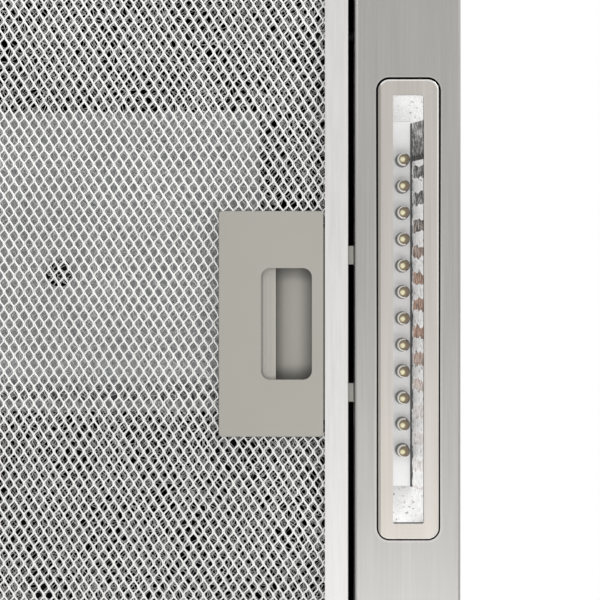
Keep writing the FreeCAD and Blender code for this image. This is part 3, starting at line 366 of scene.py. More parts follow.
# Foil: the scales of its patterns, where the reflections fade along the wall, and their tones
foilLook = {
    "crumple": (430, 400, 430),
    "streaks": (1500, 260, 1500),
    "specks": (800, 500, 800),
    "wobble": (320, 320, 320),
    "wobbleShare": 0.5,
    "copperFade": (0.012, 0.045),
    "whiteFade": (-0.045, -0.012),
    "whiteShare": 0.8,
    "patchHalf": 0.22,
    "patchWobble": 0.002,
    "lineWobble": 0.003,
    "lineWidth": 0.0009,
    "seamShadeReach": 0.002,
    "mirror": 0.9,
    "sheen": 0.1,
    "rough": (0.16, 0.36),
    "relief": (0.25, 0.5),
    "whiteStops": [(0.31, (0.38, 0.38, 0.38)), (0.4, (0.99, 0.99, 0.99))],
    "greyStops": [(0.46, (0.03, 0.03, 0.028)), (0.52, (0.16, 0.155, 0.15)), (0.58, (0.9, 0.89, 0.88))],
    "copperStops": [(0.42, (0.14, 0.08, 0.05)), (0.5, (0.62, 0.34, 0.22)), (0.6, (0.85, 0.6, 0.46))],
    "lineTone": (0.01, 0.01, 0.01),
    "seamShadeTone": (0.008, 0.008, 0.008),
}


def creasedFoil(name):
    # Bright creased foil, the LEDs' dark and copper reflections painted down one wall, painted black shade
    # round its edge at the bezel's seam
    material, nodes, links, shader = startMaterial(name)
    calc = mathFor(nodes, links)
    spot = ownPlace(nodes, links)
    across = calc("ABSOLUTE", spot["X"])
    along = calc("SUBTRACT", spot["Y"], bezelLook["middleY"])
    step = calc("DIVIDE", calc("SUBTRACT", spot["Y"], lampLook["ledMiddle"]), lampLook["ledPitch"])

    crumple = nodes.new("ShaderNodeTexVoronoi")
    crumple.inputs["Scale"].default_value = 1.0
    links.new(placeTexture(nodes, links, foilLook["crumple"]), crumple.inputs["Vector"])
    streaks = addNoise(nodes, links, placeTexture(nodes, links, foilLook["streaks"]), 1.0, 5.0, 0.75)
    specks = addNoise(nodes, links, placeTexture(nodes, links, foilLook["specks"]), 1.0, 2.0, 0.6)
    wander = addNoise(nodes, links, placeTexture(nodes, links, foilLook["wobble"]), 1.0)
    wobble = calc("MULTIPLY", calc("SUBTRACT", wander, 0.5), foilLook["wobbleShare"])

    white = addRamp(nodes, links, specks, foilLook["whiteStops"])
    grey = addRamp(nodes, links, streaks, foilLook["greyStops"])
    copper = addRamp(nodes, links, streaks, foilLook["copperStops"])
    toCopper = addRange(nodes, links, along, 1.0, 0.0, *foilLook["copperFade"])
    toWhite = addRange(nodes, links, along, 1.0, 0.0, *foilLook["whiteFade"])

    # Reflections: patches at the LED pitch, with a dark stretch at the wall's end and a line at its foot
    beyondWall = calc("GREATER_THAN", across, lampLook["wallX"])
    between = calc("MULTIPLY", calc("GREATER_THAN", along, lampLook["wallFrom"]),
                   calc("LESS_THAN", along, lampLook["wallTo"]))
    wall = calc("MULTIPLY", beyondWall, between)
    near = calc("LESS_THAN", calc("ADD", calc("PINGPONG", step, 0.5), wobble), foilLook["patchHalf"])
    frayed = calc("ADD", across, calc("MULTIPLY", wobble, foilLook["patchWobble"]))
    patch = calc("MULTIPLY", near, calc("GREATER_THAN", frayed, lampLook["patchX"]))
    patch = calc("MULTIPLY", patch, calc("SUBTRACT", 1.0, calc("MULTIPLY", toWhite, foilLook["whiteShare"])))
    patch = calc("MAXIMUM", patch, calc("GREATER_THAN", along, lampLook["darkFrom"]))
    patch = calc("MULTIPLY", patch, wall)
    uneven = calc("ADD", across, calc("MULTIPLY", wobble, foilLook["lineWobble"]))
    line = calc("MULTIPLY", calc("LESS_THAN", uneven, lampLook["wallX"] + foilLook["lineWidth"]), wall)

    # Painted seam shade: black on the tray's rim and wall foot seen through the bezel's gap
    beside = calc("MAXIMUM", beyondWall, calc("LESS_THAN", along, lampLook["edgeFrom"]))
    beside = calc("MULTIPLY", beside, calc("LESS_THAN", along, lampLook["edgeTo"]))
    away = bezelDistance(nodes, links)[0]
    beside = calc("MAXIMUM", beside, calc("GREATER_THAN", away, -foilLook["seamShadeReach"]))
    seamShade = calc("MULTIPLY", calc("LESS_THAN", spot["Z"], lampLook["seamShadeZ"]), beside)

    mirror = calc("MULTIPLY", calc("MAXIMUM", calc("MAXIMUM", patch, line), seamShade), foilLook["mirror"])
    links.new(calc("ADD", mirror, foilLook["sheen"]), shader.inputs["Metallic"])
    tone = white
    reflected = addMix(nodes, links, grey, copper, toCopper, "MIX")
    for share, color in ((patch, reflected), (line, foilLook["lineTone"]), (seamShade, foilLook["seamShadeTone"])):
        tone = addMix(nodes, links, tone, color, share, "MIX")
    links.new(tone, shader.inputs["Base Color"])
    links.new(addRange(nodes, links, streaks, *foilLook["rough"]), shader.inputs["Roughness"])
    creased = addRange(nodes, links, wall, *foilLook["relief"], 0.0, 1.0)
    addBump(nodes, links, shader, calc("MULTIPLY", crumple.outputs["Distance"], creased), 0.4, 0.0006)
    return material


ledLook = {
    "count": 12,
    "row": 0.35035,
    "radius": 2.8 * mm,
    "flangeRadius": 3.1 * mm,
    "flange": 1.0 * mm,
    "barrel": 5.4 * mm,
    "base": -0.11535,
    "tilt": 4.5,
    "segments": 28,
    "rings": 14,
}

# Resin: radii in millimetres from the LED's own axis, chipHighlightSpot and highlightRingX in metres, and
# tones, among them painted highlights and painted shade
resinLook = {
    "chipHighlightSpot": (-0.0009, 0.0002),
    "chipRadius": 4.0,
    "hazeShare": 0.16,
    "chipStops": [(0.16, (0.72, 0.68, 0.46)), (0.26, (0.46, 0.4, 0.23)),
                  (0.34, (0.17, 0.125, 0.065)), (0.8, (0.13, 0.085, 0.045))],
    "edgeRadius": 2.05,
    "edgeShadeTone": (0.1, 0.085, 0.06),
    "highlightRingRadius": 2.3,
    "highlightRingX": 0.0007,
    "highlightRingTone": (0.9, 0.87, 0.8),
    "barrelShadeTone": (0.06, 0.05, 0.04),
    "flangeTone": (0.36, 0.35, 0.33),
    "rimRadius": 2.95,
    "rimTone": (0.05, 0.05, 0.045),
    "rough": (0.05, 0.14),
}


def ledDome(name):
    # Water-clear resin by the LED's own measures: cream over the chip, partly the phosphor's colour and
    # partly a painted highlight set off-centre, brown beyond it, a painted highlight ring on one side,
    # painted shade on the dome's edge, the barrel and the flange's rim, a pale flange
    material, nodes, links, shader = startMaterial(name, IOR=1.28)
    calc = mathFor(nodes, links)
    own = nodes.new("ShaderNodeAttribute")
    own.attribute_name = "ledPlace"
    x, y, drop = splitVector(nodes, links, own.outputs["Vector"])

    def radius(overX, overY):
        squareX = calc("POWER", calc("SUBTRACT", x, overX), 2.0)
        squareY = calc("POWER", calc("SUBTRACT", y, overY), 2.0)
        return calc("MULTIPLY", calc("SQRT", calc("ADD", squareX, squareY)), 1000.0)

    fromAxis = radius(0.0, 0.0)
    haze = addNoise(nodes, links, placeTexture(nodes, links, (1400, 1400, 1400)), 1.0, 3.0)
    fromChip = calc("DIVIDE", radius(*resinLook["chipHighlightSpot"]), resinLook["chipRadius"])
    chip = calc("ADD", fromChip, calc("MULTIPLY", calc("SUBTRACT", haze, 0.5), resinLook["hazeShare"]))
    highlightRing = calc("MULTIPLY", calc("GREATER_THAN", fromAxis, resinLook["highlightRingRadius"]),
                  calc("LESS_THAN", x, resinLook["highlightRingX"]))
    flange = calc("GREATER_THAN", drop, -ledLook["flange"] - 0.0001)
    rim = calc("MULTIPLY", flange, calc("GREATER_THAN", fromAxis, resinLook["rimRadius"]))
    tone = addRamp(nodes, links, chip, resinLook["chipStops"])
    # Painted highlight ring on one side; painted shade on the dome's edge, the barrel and the flange's rim
    for share, color in (
        (calc("GREATER_THAN", fromAxis, resinLook["edgeRadius"]), "edgeShadeTone"),
        (highlightRing, "highlightRingTone"),
        (calc("GREATER_THAN", drop, -ledLook["barrel"]), "barrelShadeTone"),
        (flange, "flangeTone"),
        (rim, "rimTone"),
    ):
        tone = addMix(nodes, links, tone, resinLook[color], share, "MIX")
    links.new(tone, shader.inputs["Base Color"])
    links.new(addRange(nodes, links, haze, *resinLook["rough"]), shader.inputs["Roughness"])
    return material


def clearPlastic(name, color, roughness, alpha):
    material, nodes, links, shader = startMaterial(name, Roughness=roughness, Alpha=alpha)
    haze = addNoise(nodes, links, placeTexture(nodes, links, (60, 60, 60)), 1.0, 4.0)
    darker = [c * 0.96 for c in color]
    links.new(addBlend(nodes, links, haze, darker, color), shader.inputs["Base Color"])
    links.new(addRange(nodes, links, haze, roughness * 0.8, roughness * 1.3), shader.inputs["Roughness"])
    return material


steelTones = ((0.38, 0.37, 0.358), (0.43, 0.422, 0.41))
sideSteel = brushedMetal("sideSteel", *steelTones, (1500, 14, 1500))
canopySteel = brushedMetal("canopySteel", *steelTones, (14, 1500, 1500))
bezelTones = ((0.49, 0.46, 0.43), (0.54, 0.515, 0.485))
bezelSatin = brushedMetal("bezelSatin", *bezelTones, (1100, 9, 1100), 0.3, 0.42, 0.03)
frameTones = ((0.545, 0.54, 0.535), (0.61, 0.605, 0.6))
latchPlastic = mouldedPlastic("latchPlastic", (0.282, 0.269, 0.241), (0.3, 0.287, 0.259))

rubberTones = ((0.012, 0.012, 0.012), (0.03, 0.03, 0.03))
boardTones = ((0.97, 0.972, 0.98), (0.99, 0.99, 0.995))
enamelTones = ((0.07, 0.075, 0.08), (0.11, 0.115, 0.12))

finish = {
    "sideSteel": paintSeamShadowAndHighlight(paintInsideShade(sideSteel)),
    "canopySteel": paintInsideShade(canopySteel),
    "railSteel": brushedMetal("railSteel", (0.36, 0.355, 0.35), (0.44, 0.435, 0.43), (1500, 16, 1500)),
    "bezelSatin": paintBezelRimHighlightAndShade(bezelSatin),
    "zincSheet": galvanised("zincSheet"),
    "frameAluminium": brushedMetal("frameAluminium", *frameTones, (700, 30, 700), 0.36, 0.5, 0.03, 0.6),
    "faceStrand": plainMetal("faceStrand", (0.75, 0.75, 0.74), (0.83, 0.83, 0.815), 0.3, 0.45, 900.0, 0.3),
    # Inner layers and back mesh: a darker tone than the face strands, painted shade for the depth of the pad
    "innerStrand": plainMetal("innerStrand", (0.46, 0.46, 0.45), (0.64, 0.64, 0.63), 0.35, 0.5, 900.0, 0.4),
    "latchPlastic": shadeCorners(latchPlastic, 0.008, 0.3),
    "gripPlastic": mouldedPlastic("gripPlastic", (0.315, 0.3, 0.272), (0.335, 0.322, 0.293)),
    "blackPlastic": mouldedPlastic("blackPlastic", (0.02, 0.02, 0.021), (0.035, 0.035, 0.036)),
    "panelPlastic": mouldedPlastic("panelPlastic", (0.04, 0.04, 0.043), (0.06, 0.06, 0.063), 0.3, 0.42),
    "buttonPlastic": mouldedPlastic("buttonPlastic", (0.42, 0.43, 0.44), (0.5, 0.51, 0.52), 0.25, 0.36),
    "cableRubber": mouldedPlastic("cableRubber", *rubberTones, 0.5, 0.65, 900.0, 0.2),
    "boardWhite": mouldedPlastic("boardWhite", *boardTones, 0.4, 0.5, 700.0, 0.1),
    "foil": creasedFoil("foil"),
    "motorEnamel": mouldedPlastic("motorEnamel", *enamelTones, 0.35, 0.5, 400.0, 0.2),
    "ironCore": plainMetal("ironCore", (0.16, 0.16, 0.165), (0.24, 0.24, 0.24), 0.5, 0.7),
    "groundSteel": plainMetal("groundSteel", (0.5, 0.5, 0.5), (0.62, 0.62, 0.62), 0.18, 0.3),
    # Zinc wheels toned near black as painted shade of the hood's unlit inside
    "shadedWheelZinc": plainMetal("shadedWheelZinc", (0.06, 0.06, 0.06), (0.12, 0.12, 0.12), 0.5, 0.7, 90.0),
    "zincScrew": plainMetal("zincScrew", (0.5, 0.51, 0.52), (0.62, 0.63, 0.64), 0.2, 0.34, 500.0),
    "ledResin": ledDome("ledResin"),
    "clearLens": clearPlastic("clearLens", (0.7, 0.7, 0.7), 0.04, 0.03),
}

finishNodes = {
    "sideSteel": ["left_side_panel", "right_side_panel"],
    "canopySteel": ["canopy"],
    "zincSheet": [
        "back_panel", "rear_duct_cover", "corner_plates", "blower_casing", "casing_ends",
        "motor_cradle", "duct_collar", "front_flap", "rear_flap", "wiring_box",
    ],
    "railSteel": ["centre_rail"],
    "zincScrew": ["screws", "rivets", "set_screws"],
    "bezelSatin": ["lamp_bezels"],
    "clearLens": ["lamp_lenses", "lamp_leds"],
    "foil": ["lamp_trays"],
    "boardWhite": ["lamp_boards"],
    "groundSteel": ["shaft", "damper_rod"],
    "motorEnamel": ["motor_housing"],
    "ironCore": ["motor_stator", "motor_rotor"],
    "panelPlastic": ["control_panel"],
    "blackPlastic": ["switch_block", "led_driver", "capacitor", "wire_joints"],
    "cableRubber": ["lamp_cables", "motor_cable", "control_cable", "casing_grommet"],
}
nodeFinish = {name: key for key, names in finishNodes.items() for name in names}
for side in ("left", "right"):
    nodeFinish[side + "_filter_frame"] = "frameAluminium"
    nodeFinish[side + "_latch_springs"] = "groundSteel"
    nodeFinish[side + "_wheel"] = "shadedWheelZinc"
    nodeFinish[side + "_latch_slider"] = "gripPlastic"
    for part in ("body", "cover"):
        nodeFinish[side + "_latch_" + part] = "latchPlastic"
for name in ("light", "off", "low", "medium", "high"):
    nodeFinish["button_" + name] = "buttonPlastic"
for name, key in nodeFinish.items():
    slots = nodeObjects[name].data.materials
    slots.clear()
    slots.append(finish[key])
print("finishes on", len(nodeFinish), "nodes")


# Geometry Nodes helpers
def startTree(name, inputs):
    tree = bpy.data.node_groups.new(name, "GeometryNodeTree")
    tree.is_modifier = True
    tree.interface.new_socket("Geometry", in_out="OUTPUT", socket_type="NodeSocketGeometry")
    for label, kind in inputs:
        tree.interface.new_socket(label, in_out="INPUT", socket_type="NodeSocket" + kind)
    entry = tree.nodes.new("NodeGroupInput")
    return tree, entry


def endTree(tree, geometry, material):
    real = tree.nodes.new("GeometryNodeRealizeInstances")
    paint = tree.nodes.new("GeometryNodeSetMaterial")
    leave = tree.nodes.new("NodeGroupOutput")
    tree.links.new(geometry, real.inputs["Geometry"])
    tree.links.new(real.outputs["Geometry"], paint.inputs["Geometry"])
    tree.links.new(material, paint.inputs["Material"])
    tree.links.new(paint.outputs["Geometry"], leave.inputs["Geometry"])


def runTree(tree, name, values, place):
    carrier = bpy.data.objects.new(name + "Carrier", bpy.data.meshes.new(name + "Carrier"))
    bpy.context.scene.collection.objects.link(carrier)
    modifier = carrier.modifiers.new("build", "NODES")
    sockets = {i.name: i.identifier for i in tree.interface.items_tree if i.in_out == "INPUT"}
    modifier.node_group = tree
    for label, value in values.items():
        modifier[sockets[label]] = value
    bpy.context.view_layer.update()
    graph = bpy.context.evaluated_depsgraph_get()
    mesh = bpy.data.meshes.new_from_object(carrier.evaluated_get(graph))
    carrier.modifiers.remove(modifier)
    bpy.data.objects.remove(carrier)
    mesh.transform(place)
    mesh.name = name
    piece = bpy.data.objects.new(name, mesh)
    bpy.context.scene.collection.objects.link(piece)
    return piece


# Expanded mesh: zigzag strands that touch at their bonds
def buildMeshTree():
    tree, entry = startTree("expandedMesh", [
        ("Strands", "Int"), ("Bonds", "Int"), ("Cell Width", "Float"), ("Cell Height", "Float"),
        ("Bond Length", "Float"), ("Strand Width", "Float"), ("Strand Depth", "Float"), ("Overlap", "Float"),
        ("Tilt", "Float"), ("Jitter", "Float"), ("Jitter Scale", "Float"), ("Seed", "Float"),
        ("Turned", "Float"), ("Lean", "Float"),
        ("Cut Middle", "Float"), ("Cut Half Width", "Float"), ("Cut Half Length", "Float"),
        ("Material", "Material"),
    ])
    given = entry.outputs
    new, link = tree.nodes.new, tree.links.new
    calc = mathFor(tree.nodes, tree.links)

    points = calc("MULTIPLY", given["Bonds"], 2)
    grid = new("GeometryNodeMeshGrid")
    link(calc("SUBTRACT", given["Strands"], 1), grid.inputs["Size X"])
    link(calc("SUBTRACT", points, 1), grid.inputs["Size Y"])
    link(given["Strands"], grid.inputs["Vertices X"])
    link(points, grid.inputs["Vertices Y"])

    ends = new("GeometryNodeInputMeshEdgeVertices")
    gap = new("ShaderNodeVectorMath")
    gap.operation = "SUBTRACT"
    link(ends.outputs["Position 1"], gap.inputs[0])
    link(ends.outputs["Position 2"], gap.inputs[1])
    gapParts = new("ShaderNodeSeparateXYZ")
    link(gap.outputs[0], gapParts.inputs[0])
    across = calc("GREATER_THAN", calc("ABSOLUTE", gapParts.outputs["X"]), 0.5)
    strip = new("GeometryNodeDeleteGeometry")
    strip.domain = "EDGE"
    strip.mode = "EDGE_FACE"
    link(grid.outputs["Mesh"], strip.inputs["Geometry"])
    link(across, strip.inputs["Selection"])

    where = new("GeometryNodeInputPosition")
    parts = new("ShaderNodeSeparateXYZ")
    link(where.outputs[0], parts.inputs[0])
    halfStrands = calc("DIVIDE", calc("SUBTRACT", given["Strands"], 1), 2)
    halfPoints = calc("DIVIDE", calc("SUBTRACT", points, 1), 2)
    strand = calc("ROUND", calc("ADD", parts.outputs["X"], halfStrands))
    point = calc("ROUND", calc("ADD", parts.outputs["Y"], halfPoints))
    bond = calc("FLOOR", calc("DIVIDE", point, 2))
    end = calc("SUBTRACT", calc("SUBTRACT", point, calc("MULTIPLY", bond, 2)), 0.5)
    odd = calc("MODULO", calc("ADD", bond, strand), 2)
    way = calc("SUBTRACT", 1, calc("MULTIPLY", odd, 2))
    halfWidth = calc("DIVIDE", given["Cell Width"], 2)
    halfHeight = calc("DIVIDE", given["Cell Height"], 2)
    swing = calc("SUBTRACT", calc("DIVIDE", halfWidth, 2), given["Overlap"])
    column = calc("MULTIPLY", calc("SUBTRACT", strand, halfStrands), halfWidth)
    x = calc("ADD", column, calc("MULTIPLY", way, swing))
    x = calc("ADD", x, calc("MULTIPLY", end, given["Lean"]))
    halfBonds = calc("DIVIDE", calc("SUBTRACT", given["Bonds"], 1), 2)
    line = calc("MULTIPLY", calc("SUBTRACT", bond, halfBonds), halfHeight)
    y = calc("ADD", line, calc("MULTIPLY", end, given["Bond Length"]))
    z = calc("MULTIPLY", end, given["Tilt"])
    straight = calc("SUBTRACT", 1, given["Turned"])
    turnedX = calc("SUBTRACT", calc("MULTIPLY", x, straight), calc("MULTIPLY", y, given["Turned"]))
    turnedY = calc("ADD", calc("MULTIPLY", y, straight), calc("MULTIPLY", x, given["Turned"]))
    spot = new("ShaderNodeCombineXYZ")
    for axis, value in zip("XYZ", (turnedX, turnedY, z)):
        link(value, spot.inputs[axis])

    noise = new("ShaderNodeTexNoise")
    noise.noise_dimensions = "4D"
    noise.inputs["Detail"].default_value = 1.0
    link(spot.outputs[0], noise.inputs["Vector"])
    link(given["Seed"], noise.inputs["W"])
    link(given["Jitter Scale"], noise.inputs["Scale"])
    centred = new("ShaderNodeVectorMath")
    centred.operation = "SUBTRACT"
    centred.inputs[1].default_value = (0.5, 0.5, 0.5)
    link(noise.outputs["Color"], centred.inputs[0])
    shaken = new("ShaderNodeVectorMath")
    shaken.operation = "SCALE"
    link(centred.outputs[0], shaken.inputs[0])
    link(given["Jitter"], shaken.inputs["Scale"])
    flatter = new("ShaderNodeVectorMath")
    flatter.operation = "MULTIPLY"
    flatter.inputs[1].default_value = filterMesh["crumpleSpread"]
    link(shaken.outputs[0], flatter.inputs[0])
    total = new("ShaderNodeVectorMath")
    link(spot.outputs[0], total.inputs[0])
    link(flatter.outputs[0], total.inputs[1])
    lay = new("GeometryNodeSetPosition")
    link(strip.outputs[0], lay.inputs["Geometry"])
    link(total.outputs[0], lay.inputs["Position"])

    cutSpot = new("GeometryNodeInputPosition")
    cutParts = new("ShaderNodeSeparateXYZ")
    link(cutSpot.outputs[0], cutParts.inputs[0])
    fromCut = calc("ABSOLUTE", calc("SUBTRACT", cutParts.outputs["X"], given["Cut Middle"]))
    insideX = calc("LESS_THAN", fromCut, given["Cut Half Width"])
    insideY = calc("LESS_THAN", calc("ABSOLUTE", cutParts.outputs["Y"]), given["Cut Half Length"])
    cut = new("GeometryNodeDeleteGeometry")
    cut.domain = "POINT"
    link(lay.outputs[0], cut.inputs["Geometry"])
    link(calc("MULTIPLY", insideX, insideY), cut.inputs["Selection"])

    curve = new("GeometryNodeMeshToCurve")
    link(cut.outputs[0], curve.inputs["Mesh"])
    upright = new("GeometryNodeSetCurveNormal")
    upright.mode = "Z_UP"
    link(curve.outputs[0], upright.inputs["Curve"])
    ring = new("GeometryNodeCurvePrimitiveCircle")
    ring.inputs["Resolution"].default_value = filterMesh["strandSides"]
    ring.inputs["Radius"].default_value = filterMesh["strandRadius"]
    shape = new("ShaderNodeCombineXYZ")
    link(given["Strand Width"], shape.inputs["X"])
    link(given["Strand Depth"], shape.inputs["Y"])
    shape.inputs["Z"].default_value = 1.0
    sized = new("GeometryNodeTransform")
    sized.inputs["Rotation"].default_value = (0, 0, math.radians(-90))
    flat = new("GeometryNodeTransform")
    link(ring.outputs[0], sized.inputs["Geometry"])
    link(sized.outputs[0], flat.inputs["Geometry"])
    link(shape.outputs[0], flat.inputs["Scale"])
    tube = new("GeometryNodeCurveToMesh")
    tube.inputs["Fill Caps"].default_value = True
    link(upright.outputs[0], tube.inputs["Curve"])
    link(flat.outputs[0], tube.inputs["Profile Curve"])
    endTree(tree, tube.outputs[0], given["Material"])
    return tree


filterMesh = {
    "faceCell": (4.35 * mm, 6.96 * mm),
    "faceStrand": (0.84 * mm, 0.4 * mm),
    "backStrand": (0.32 * mm, 0.3 * mm),
    "faceBond": 1.6 * mm,
    "lean": 0.3 * mm,
    "innerBond": 0.7 * mm,
    "innerStrand": (0.29 * mm, 0.26 * mm),
    "innerJitter": 10.0 * mm,
    "jitterScale": 450.0,
    "backCell": (4.9 * mm, 7.8 * mm),
    "innerCells": ((5.0 * mm, 7.6 * mm), (4.6 * mm, 7.0 * mm), (5.4 * mm, 8.2 * mm)),
    "border": 1.2 * mm,
    "latchGap": 0.9 * mm,
    "outerJitter": 0.5 * mm,
    "overlapShare": 0.32,
    "tiltShare": 0.5,
    "crumpleSpread": (1, 1, 0.35),
    "strandSides": 3,
    "strandRadius": 0.577,
    "outerLayers": (("face", 1.0, "faceStrand"), ("back", 2.0, "innerStrand")),
    "innerFrom": 0.05,
    "innerStep": 0.45,
    "innerSeed": 7.0,
}
meshTree = buildMeshTree()


def filterLayer(side, name, height, cell, strand, bond, jitter, seed, material, turned=0, lean=0.0):
    low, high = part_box(side + "_face_mesh")
    plateLow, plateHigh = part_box(side + "_latch_cover")
    middle = (low + high) / 2
    size = [high.x - low.x - 2 * filterMesh["border"], high.y - low.y - 2 * filterMesh["border"]]
    if turned:
        size.reverse()
    piece = runTree(meshTree, name, {
        "Strands": int(size[0] / (cell[0] / 2)), "Bonds": int(size[1] / (cell[1] / 2)),
        "Cell Width": cell[0], "Cell Height": cell[1], "Bond Length": bond,
        "Strand Width": strand[0], "Strand Depth": strand[1],
        "Overlap": strand[0] * filterMesh["overlapShare"],
        "Tilt": strand[1] * filterMesh["tiltShare"], "Jitter": jitter,
        "Jitter Scale": filterMesh["jitterScale"], "Seed": seed,
        "Turned": float(turned), "Lean": lean, "Cut Middle": (plateLow.x + plateHigh.x) / 2 - middle.x,
        "Cut Half Width": (plateHigh.x - plateLow.x) / 2 + filterMesh["latchGap"],
        "Cut Half Length": (plateHigh.y - plateLow.y) / 2 + filterMesh["latchGap"],
        "Material": finish[material],
    }, Matrix.Translation((middle.x, middle.y, height)))
    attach(piece, side + "_filter")
    return piece


def middleHeight(node):
    low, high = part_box(node)
    return (low.z + high.z) / 2


for side, seed in (("left", 0.0), ("right", 40.0)):
    for kind, extra, strands in filterMesh["outerLayers"]:
        sheet = side + "_" + kind + "_mesh"
        layer = filterLayer(side, side + "_" + kind + "Strands", middleHeight(sheet),
                            filterMesh[kind + "Cell"], filterMesh[kind + "Strand"], filterMesh["faceBond"],
                            filterMesh["outerJitter"], seed + extra, strands, 0, filterMesh["lean"])
        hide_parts(sheet)
    low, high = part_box(side + "_inner_mesh")
    for count, cell in enumerate(filterMesh["innerCells"]):
        height = low.z + (high.z - low.z) * (filterMesh["innerFrom"] + filterMesh["innerStep"] * count)
        layer = filterLayer(side, side + "_innerStrands%d" % (count + 1), height, cell,
                            filterMesh["innerStrand"], filterMesh["innerBond"], filterMesh["innerJitter"],
                            seed + filterMesh["innerSeed"] * (count + 1), "innerStrand", count % 2)
        if count == 0:
            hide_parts(side + "_inner_mesh")
print("filter mesh woven")


# LEDs: flange, barrel and dome, leaning a little outwards on their leads
def buildLedTree():
    tree, entry = startTree("ledRow", [
        ("Count", "Int"), ("Pitch", "Float"), ("Radius", "Float"), ("Flange Radius", "Float"),
        ("Flange", "Float"), ("Barrel", "Float"), ("Tilt", "Float"), ("Turn", "Float"),
        ("Material", "Material"),
    ])
    given = entry.outputs
    new, link = tree.nodes.new, tree.links.new
    calc = mathFor(tree.nodes, tree.links)

    def drum(radius, depth):
        made = new("GeometryNodeMeshCylinder")
        made.inputs["Vertices"].default_value = ledLook["segments"]
        link(radius, made.inputs["Radius"])
        link(depth, made.inputs["Depth"])
        return sunk(made.outputs["Mesh"], calc("MULTIPLY", depth, -0.5))

    def sunk(mesh, drop):
        place = new("ShaderNodeCombineXYZ")
        link(drop, place.inputs["Z"])
        moved = new("GeometryNodeTransform")
        link(mesh, moved.inputs["Geometry"])
        link(place.outputs[0], moved.inputs["Translation"])
        return moved.outputs[0]

    ball = new("GeometryNodeMeshUVSphere")
    ball.inputs["Segments"].default_value = ledLook["segments"]
    ball.inputs["Rings"].default_value = ledLook["rings"]
    link(given["Radius"], ball.inputs["Radius"])
    smooth = new("GeometryNodeSetShadeSmooth")
    link(ball.outputs["Mesh"], smooth.inputs["Geometry"])
    whole = new("GeometryNodeJoinGeometry")
    for mesh in (drum(given["Flange Radius"], given["Flange"]), drum(given["Radius"], given["Barrel"]),
                 sunk(smooth.outputs[0], calc("MULTIPLY", given["Barrel"], -1))):
        link(mesh, whole.inputs[0])
    where = new("GeometryNodeInputPosition")
    keep = new("GeometryNodeStoreNamedAttribute")
    keep.data_type = "FLOAT_VECTOR"
    keep.domain = "POINT"
    keep.inputs["Name"].default_value = "ledPlace"
    link(whole.outputs[0], keep.inputs["Geometry"])
    link(where.outputs[0], keep.inputs["Value"])

    row = new("GeometryNodeMeshLine")
    step = new("ShaderNodeCombineXYZ")
    start = new("ShaderNodeCombineXYZ")
    half = calc("MULTIPLY", calc("SUBTRACT", given["Count"], 1), -0.5)
    link(given["Pitch"], step.inputs["Y"])
    link(calc("MULTIPLY", half, given["Pitch"]), start.inputs["Y"])
    link(given["Count"], row.inputs["Count"])
    link(step.outputs[0], row.inputs["Offset"])
    link(start.outputs[0], row.inputs["Start Location"])
    turn = new("ShaderNodeCombineXYZ")
    link(given["Tilt"], turn.inputs["Y"])
    link(given["Turn"], turn.inputs["Z"])
    rotation = new("FunctionNodeEulerToRotation")
    link(turn.outputs[0], rotation.inputs[0])
    spread = new("GeometryNodeInstanceOnPoints")
    link(row.outputs[0], spread.inputs["Points"])
    link(keep.outputs[0], spread.inputs["Instance"])
    link(rotation.outputs[0], spread.inputs["Rotation"])
    endTree(tree, spread.outputs[0], given["Material"])
    return tree


ledTree = buildLedTree()
for side, way in (("left", -1), ("right", 1)):
    row = runTree(ledTree, side + "_lampLeds", {
        "Count": ledLook["count"], "Pitch": lampLook["ledPitch"], "Radius": ledLook["radius"],
        "Flange Radius": ledLook["flangeRadius"], "Flange": ledLook["flange"], "Barrel": ledLook["barrel"],
        "Tilt": -math.radians(ledLook["tilt"]), "Turn": 0.0 if way > 0 else math.pi,
        "Material": finish["ledResin"],
    }, Matrix.Translation((way * ledLook["row"], lampLook["ledMiddle"], ledLook["base"])))
    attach(row, "hood_body")
    if way < 0:
        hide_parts("lamp_leds")
print("leds set")


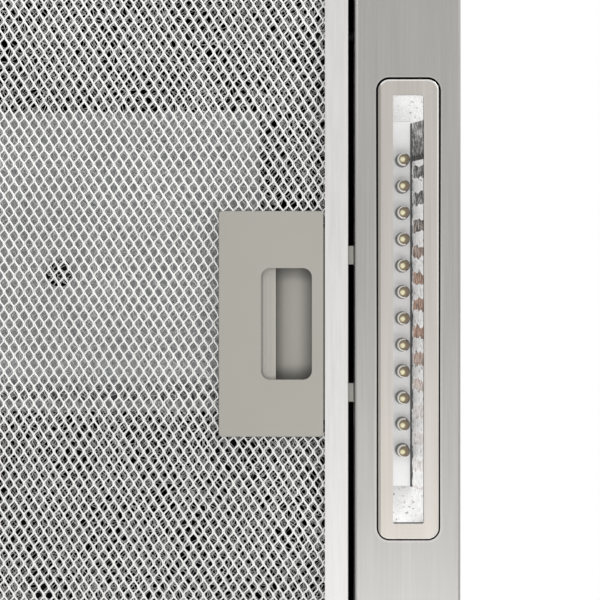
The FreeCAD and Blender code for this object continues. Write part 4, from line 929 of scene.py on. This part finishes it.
# Stage, light and camera
studio = {
    "cameraSpot": (-0.305, -0.0596, -0.746),
    "lens": 85.0,
    "floorZ": -2.9,
    "floorHalf": 9.0,
    "worldGlow": 1.0,
    "lights": (
        ("frontLight", (-0.3, -1.35, -2.2), (-0.3, -0.2, -0.13), (3.0, 1.2), 26),
        ("glintLight", (0.7, 0.9, -1.8), (-0.3, -0.06, -0.13), (0.35, 0.35), 6),
        ("rimLight", (-2.0, 1.4, -0.8), (-0.3, -0.05, -0.13), (0.8, 0.8), 22),
        ("topLight", (-1.2, -0.8, 2.0), (0, 0, 0), (1.5, 1.5), 14),
    ),
}


def makeStage():
    mesh = bpy.data.meshes.new("floor")
    build = bmesh.new()
    bmesh.ops.create_grid(build, x_segments=8, y_segments=8, size=studio["floorHalf"])
    build.to_mesh(mesh)
    build.free()
    mesh.transform(Matrix.Translation((0, 0, studio["floorZ"])))
    floor = bpy.data.objects.new("floor", mesh)
    bpy.context.scene.collection.objects.link(floor)
    material, nodes, links, shader = startMaterial("paleFloor", Roughness=0.9)
    cloud = addNoise(nodes, links, placeTexture(nodes, links, (0.7, 0.7, 0.7)), 1.0, 2.0)
    tone = addBlend(nodes, links, cloud, (0.78, 0.78, 0.77), (0.84, 0.84, 0.83))
    links.new(tone, shader.inputs["Base Color"])
    mesh.materials.append(material)


def addLight(name, spot, aim, size, power):
    data = bpy.data.lights.new(name, "AREA")
    data.shape = "RECTANGLE"
    data.size, data.size_y = size
    data.energy = power
    light = bpy.data.objects.new(name, data)
    light.location = spot
    light.rotation_euler = (Vector(aim) - Vector(spot)).to_track_quat("-Z", "Y").to_euler()
    light.visible_camera = False
    bpy.context.scene.collection.objects.link(light)


makeStage()
world = bpy.data.worlds.new("studio")
world.use_nodes = True
world.node_tree.nodes["Background"].inputs["Color"].default_value = (1, 1, 1, 1)
world.node_tree.nodes["Background"].inputs["Strength"].default_value = studio["worldGlow"]
bpy.context.scene.world = world
bpy.context.scene.view_settings.view_transform = "Standard"
for lamp in studio["lights"]:
    addLight(*lamp)

cameraData = bpy.data.cameras.new("camera")
cameraData.lens = studio["lens"]
cameraData.sensor_width = 36.0
cameraData.clip_start = 0.01
camera = bpy.data.objects.new("camera", cameraData)
camera.location = studio["cameraSpot"]
camera.rotation_euler = (0, math.pi, 0)
bpy.context.scene.collection.objects.link(camera)
bpy.context.scene.camera = camera
print("studio set")
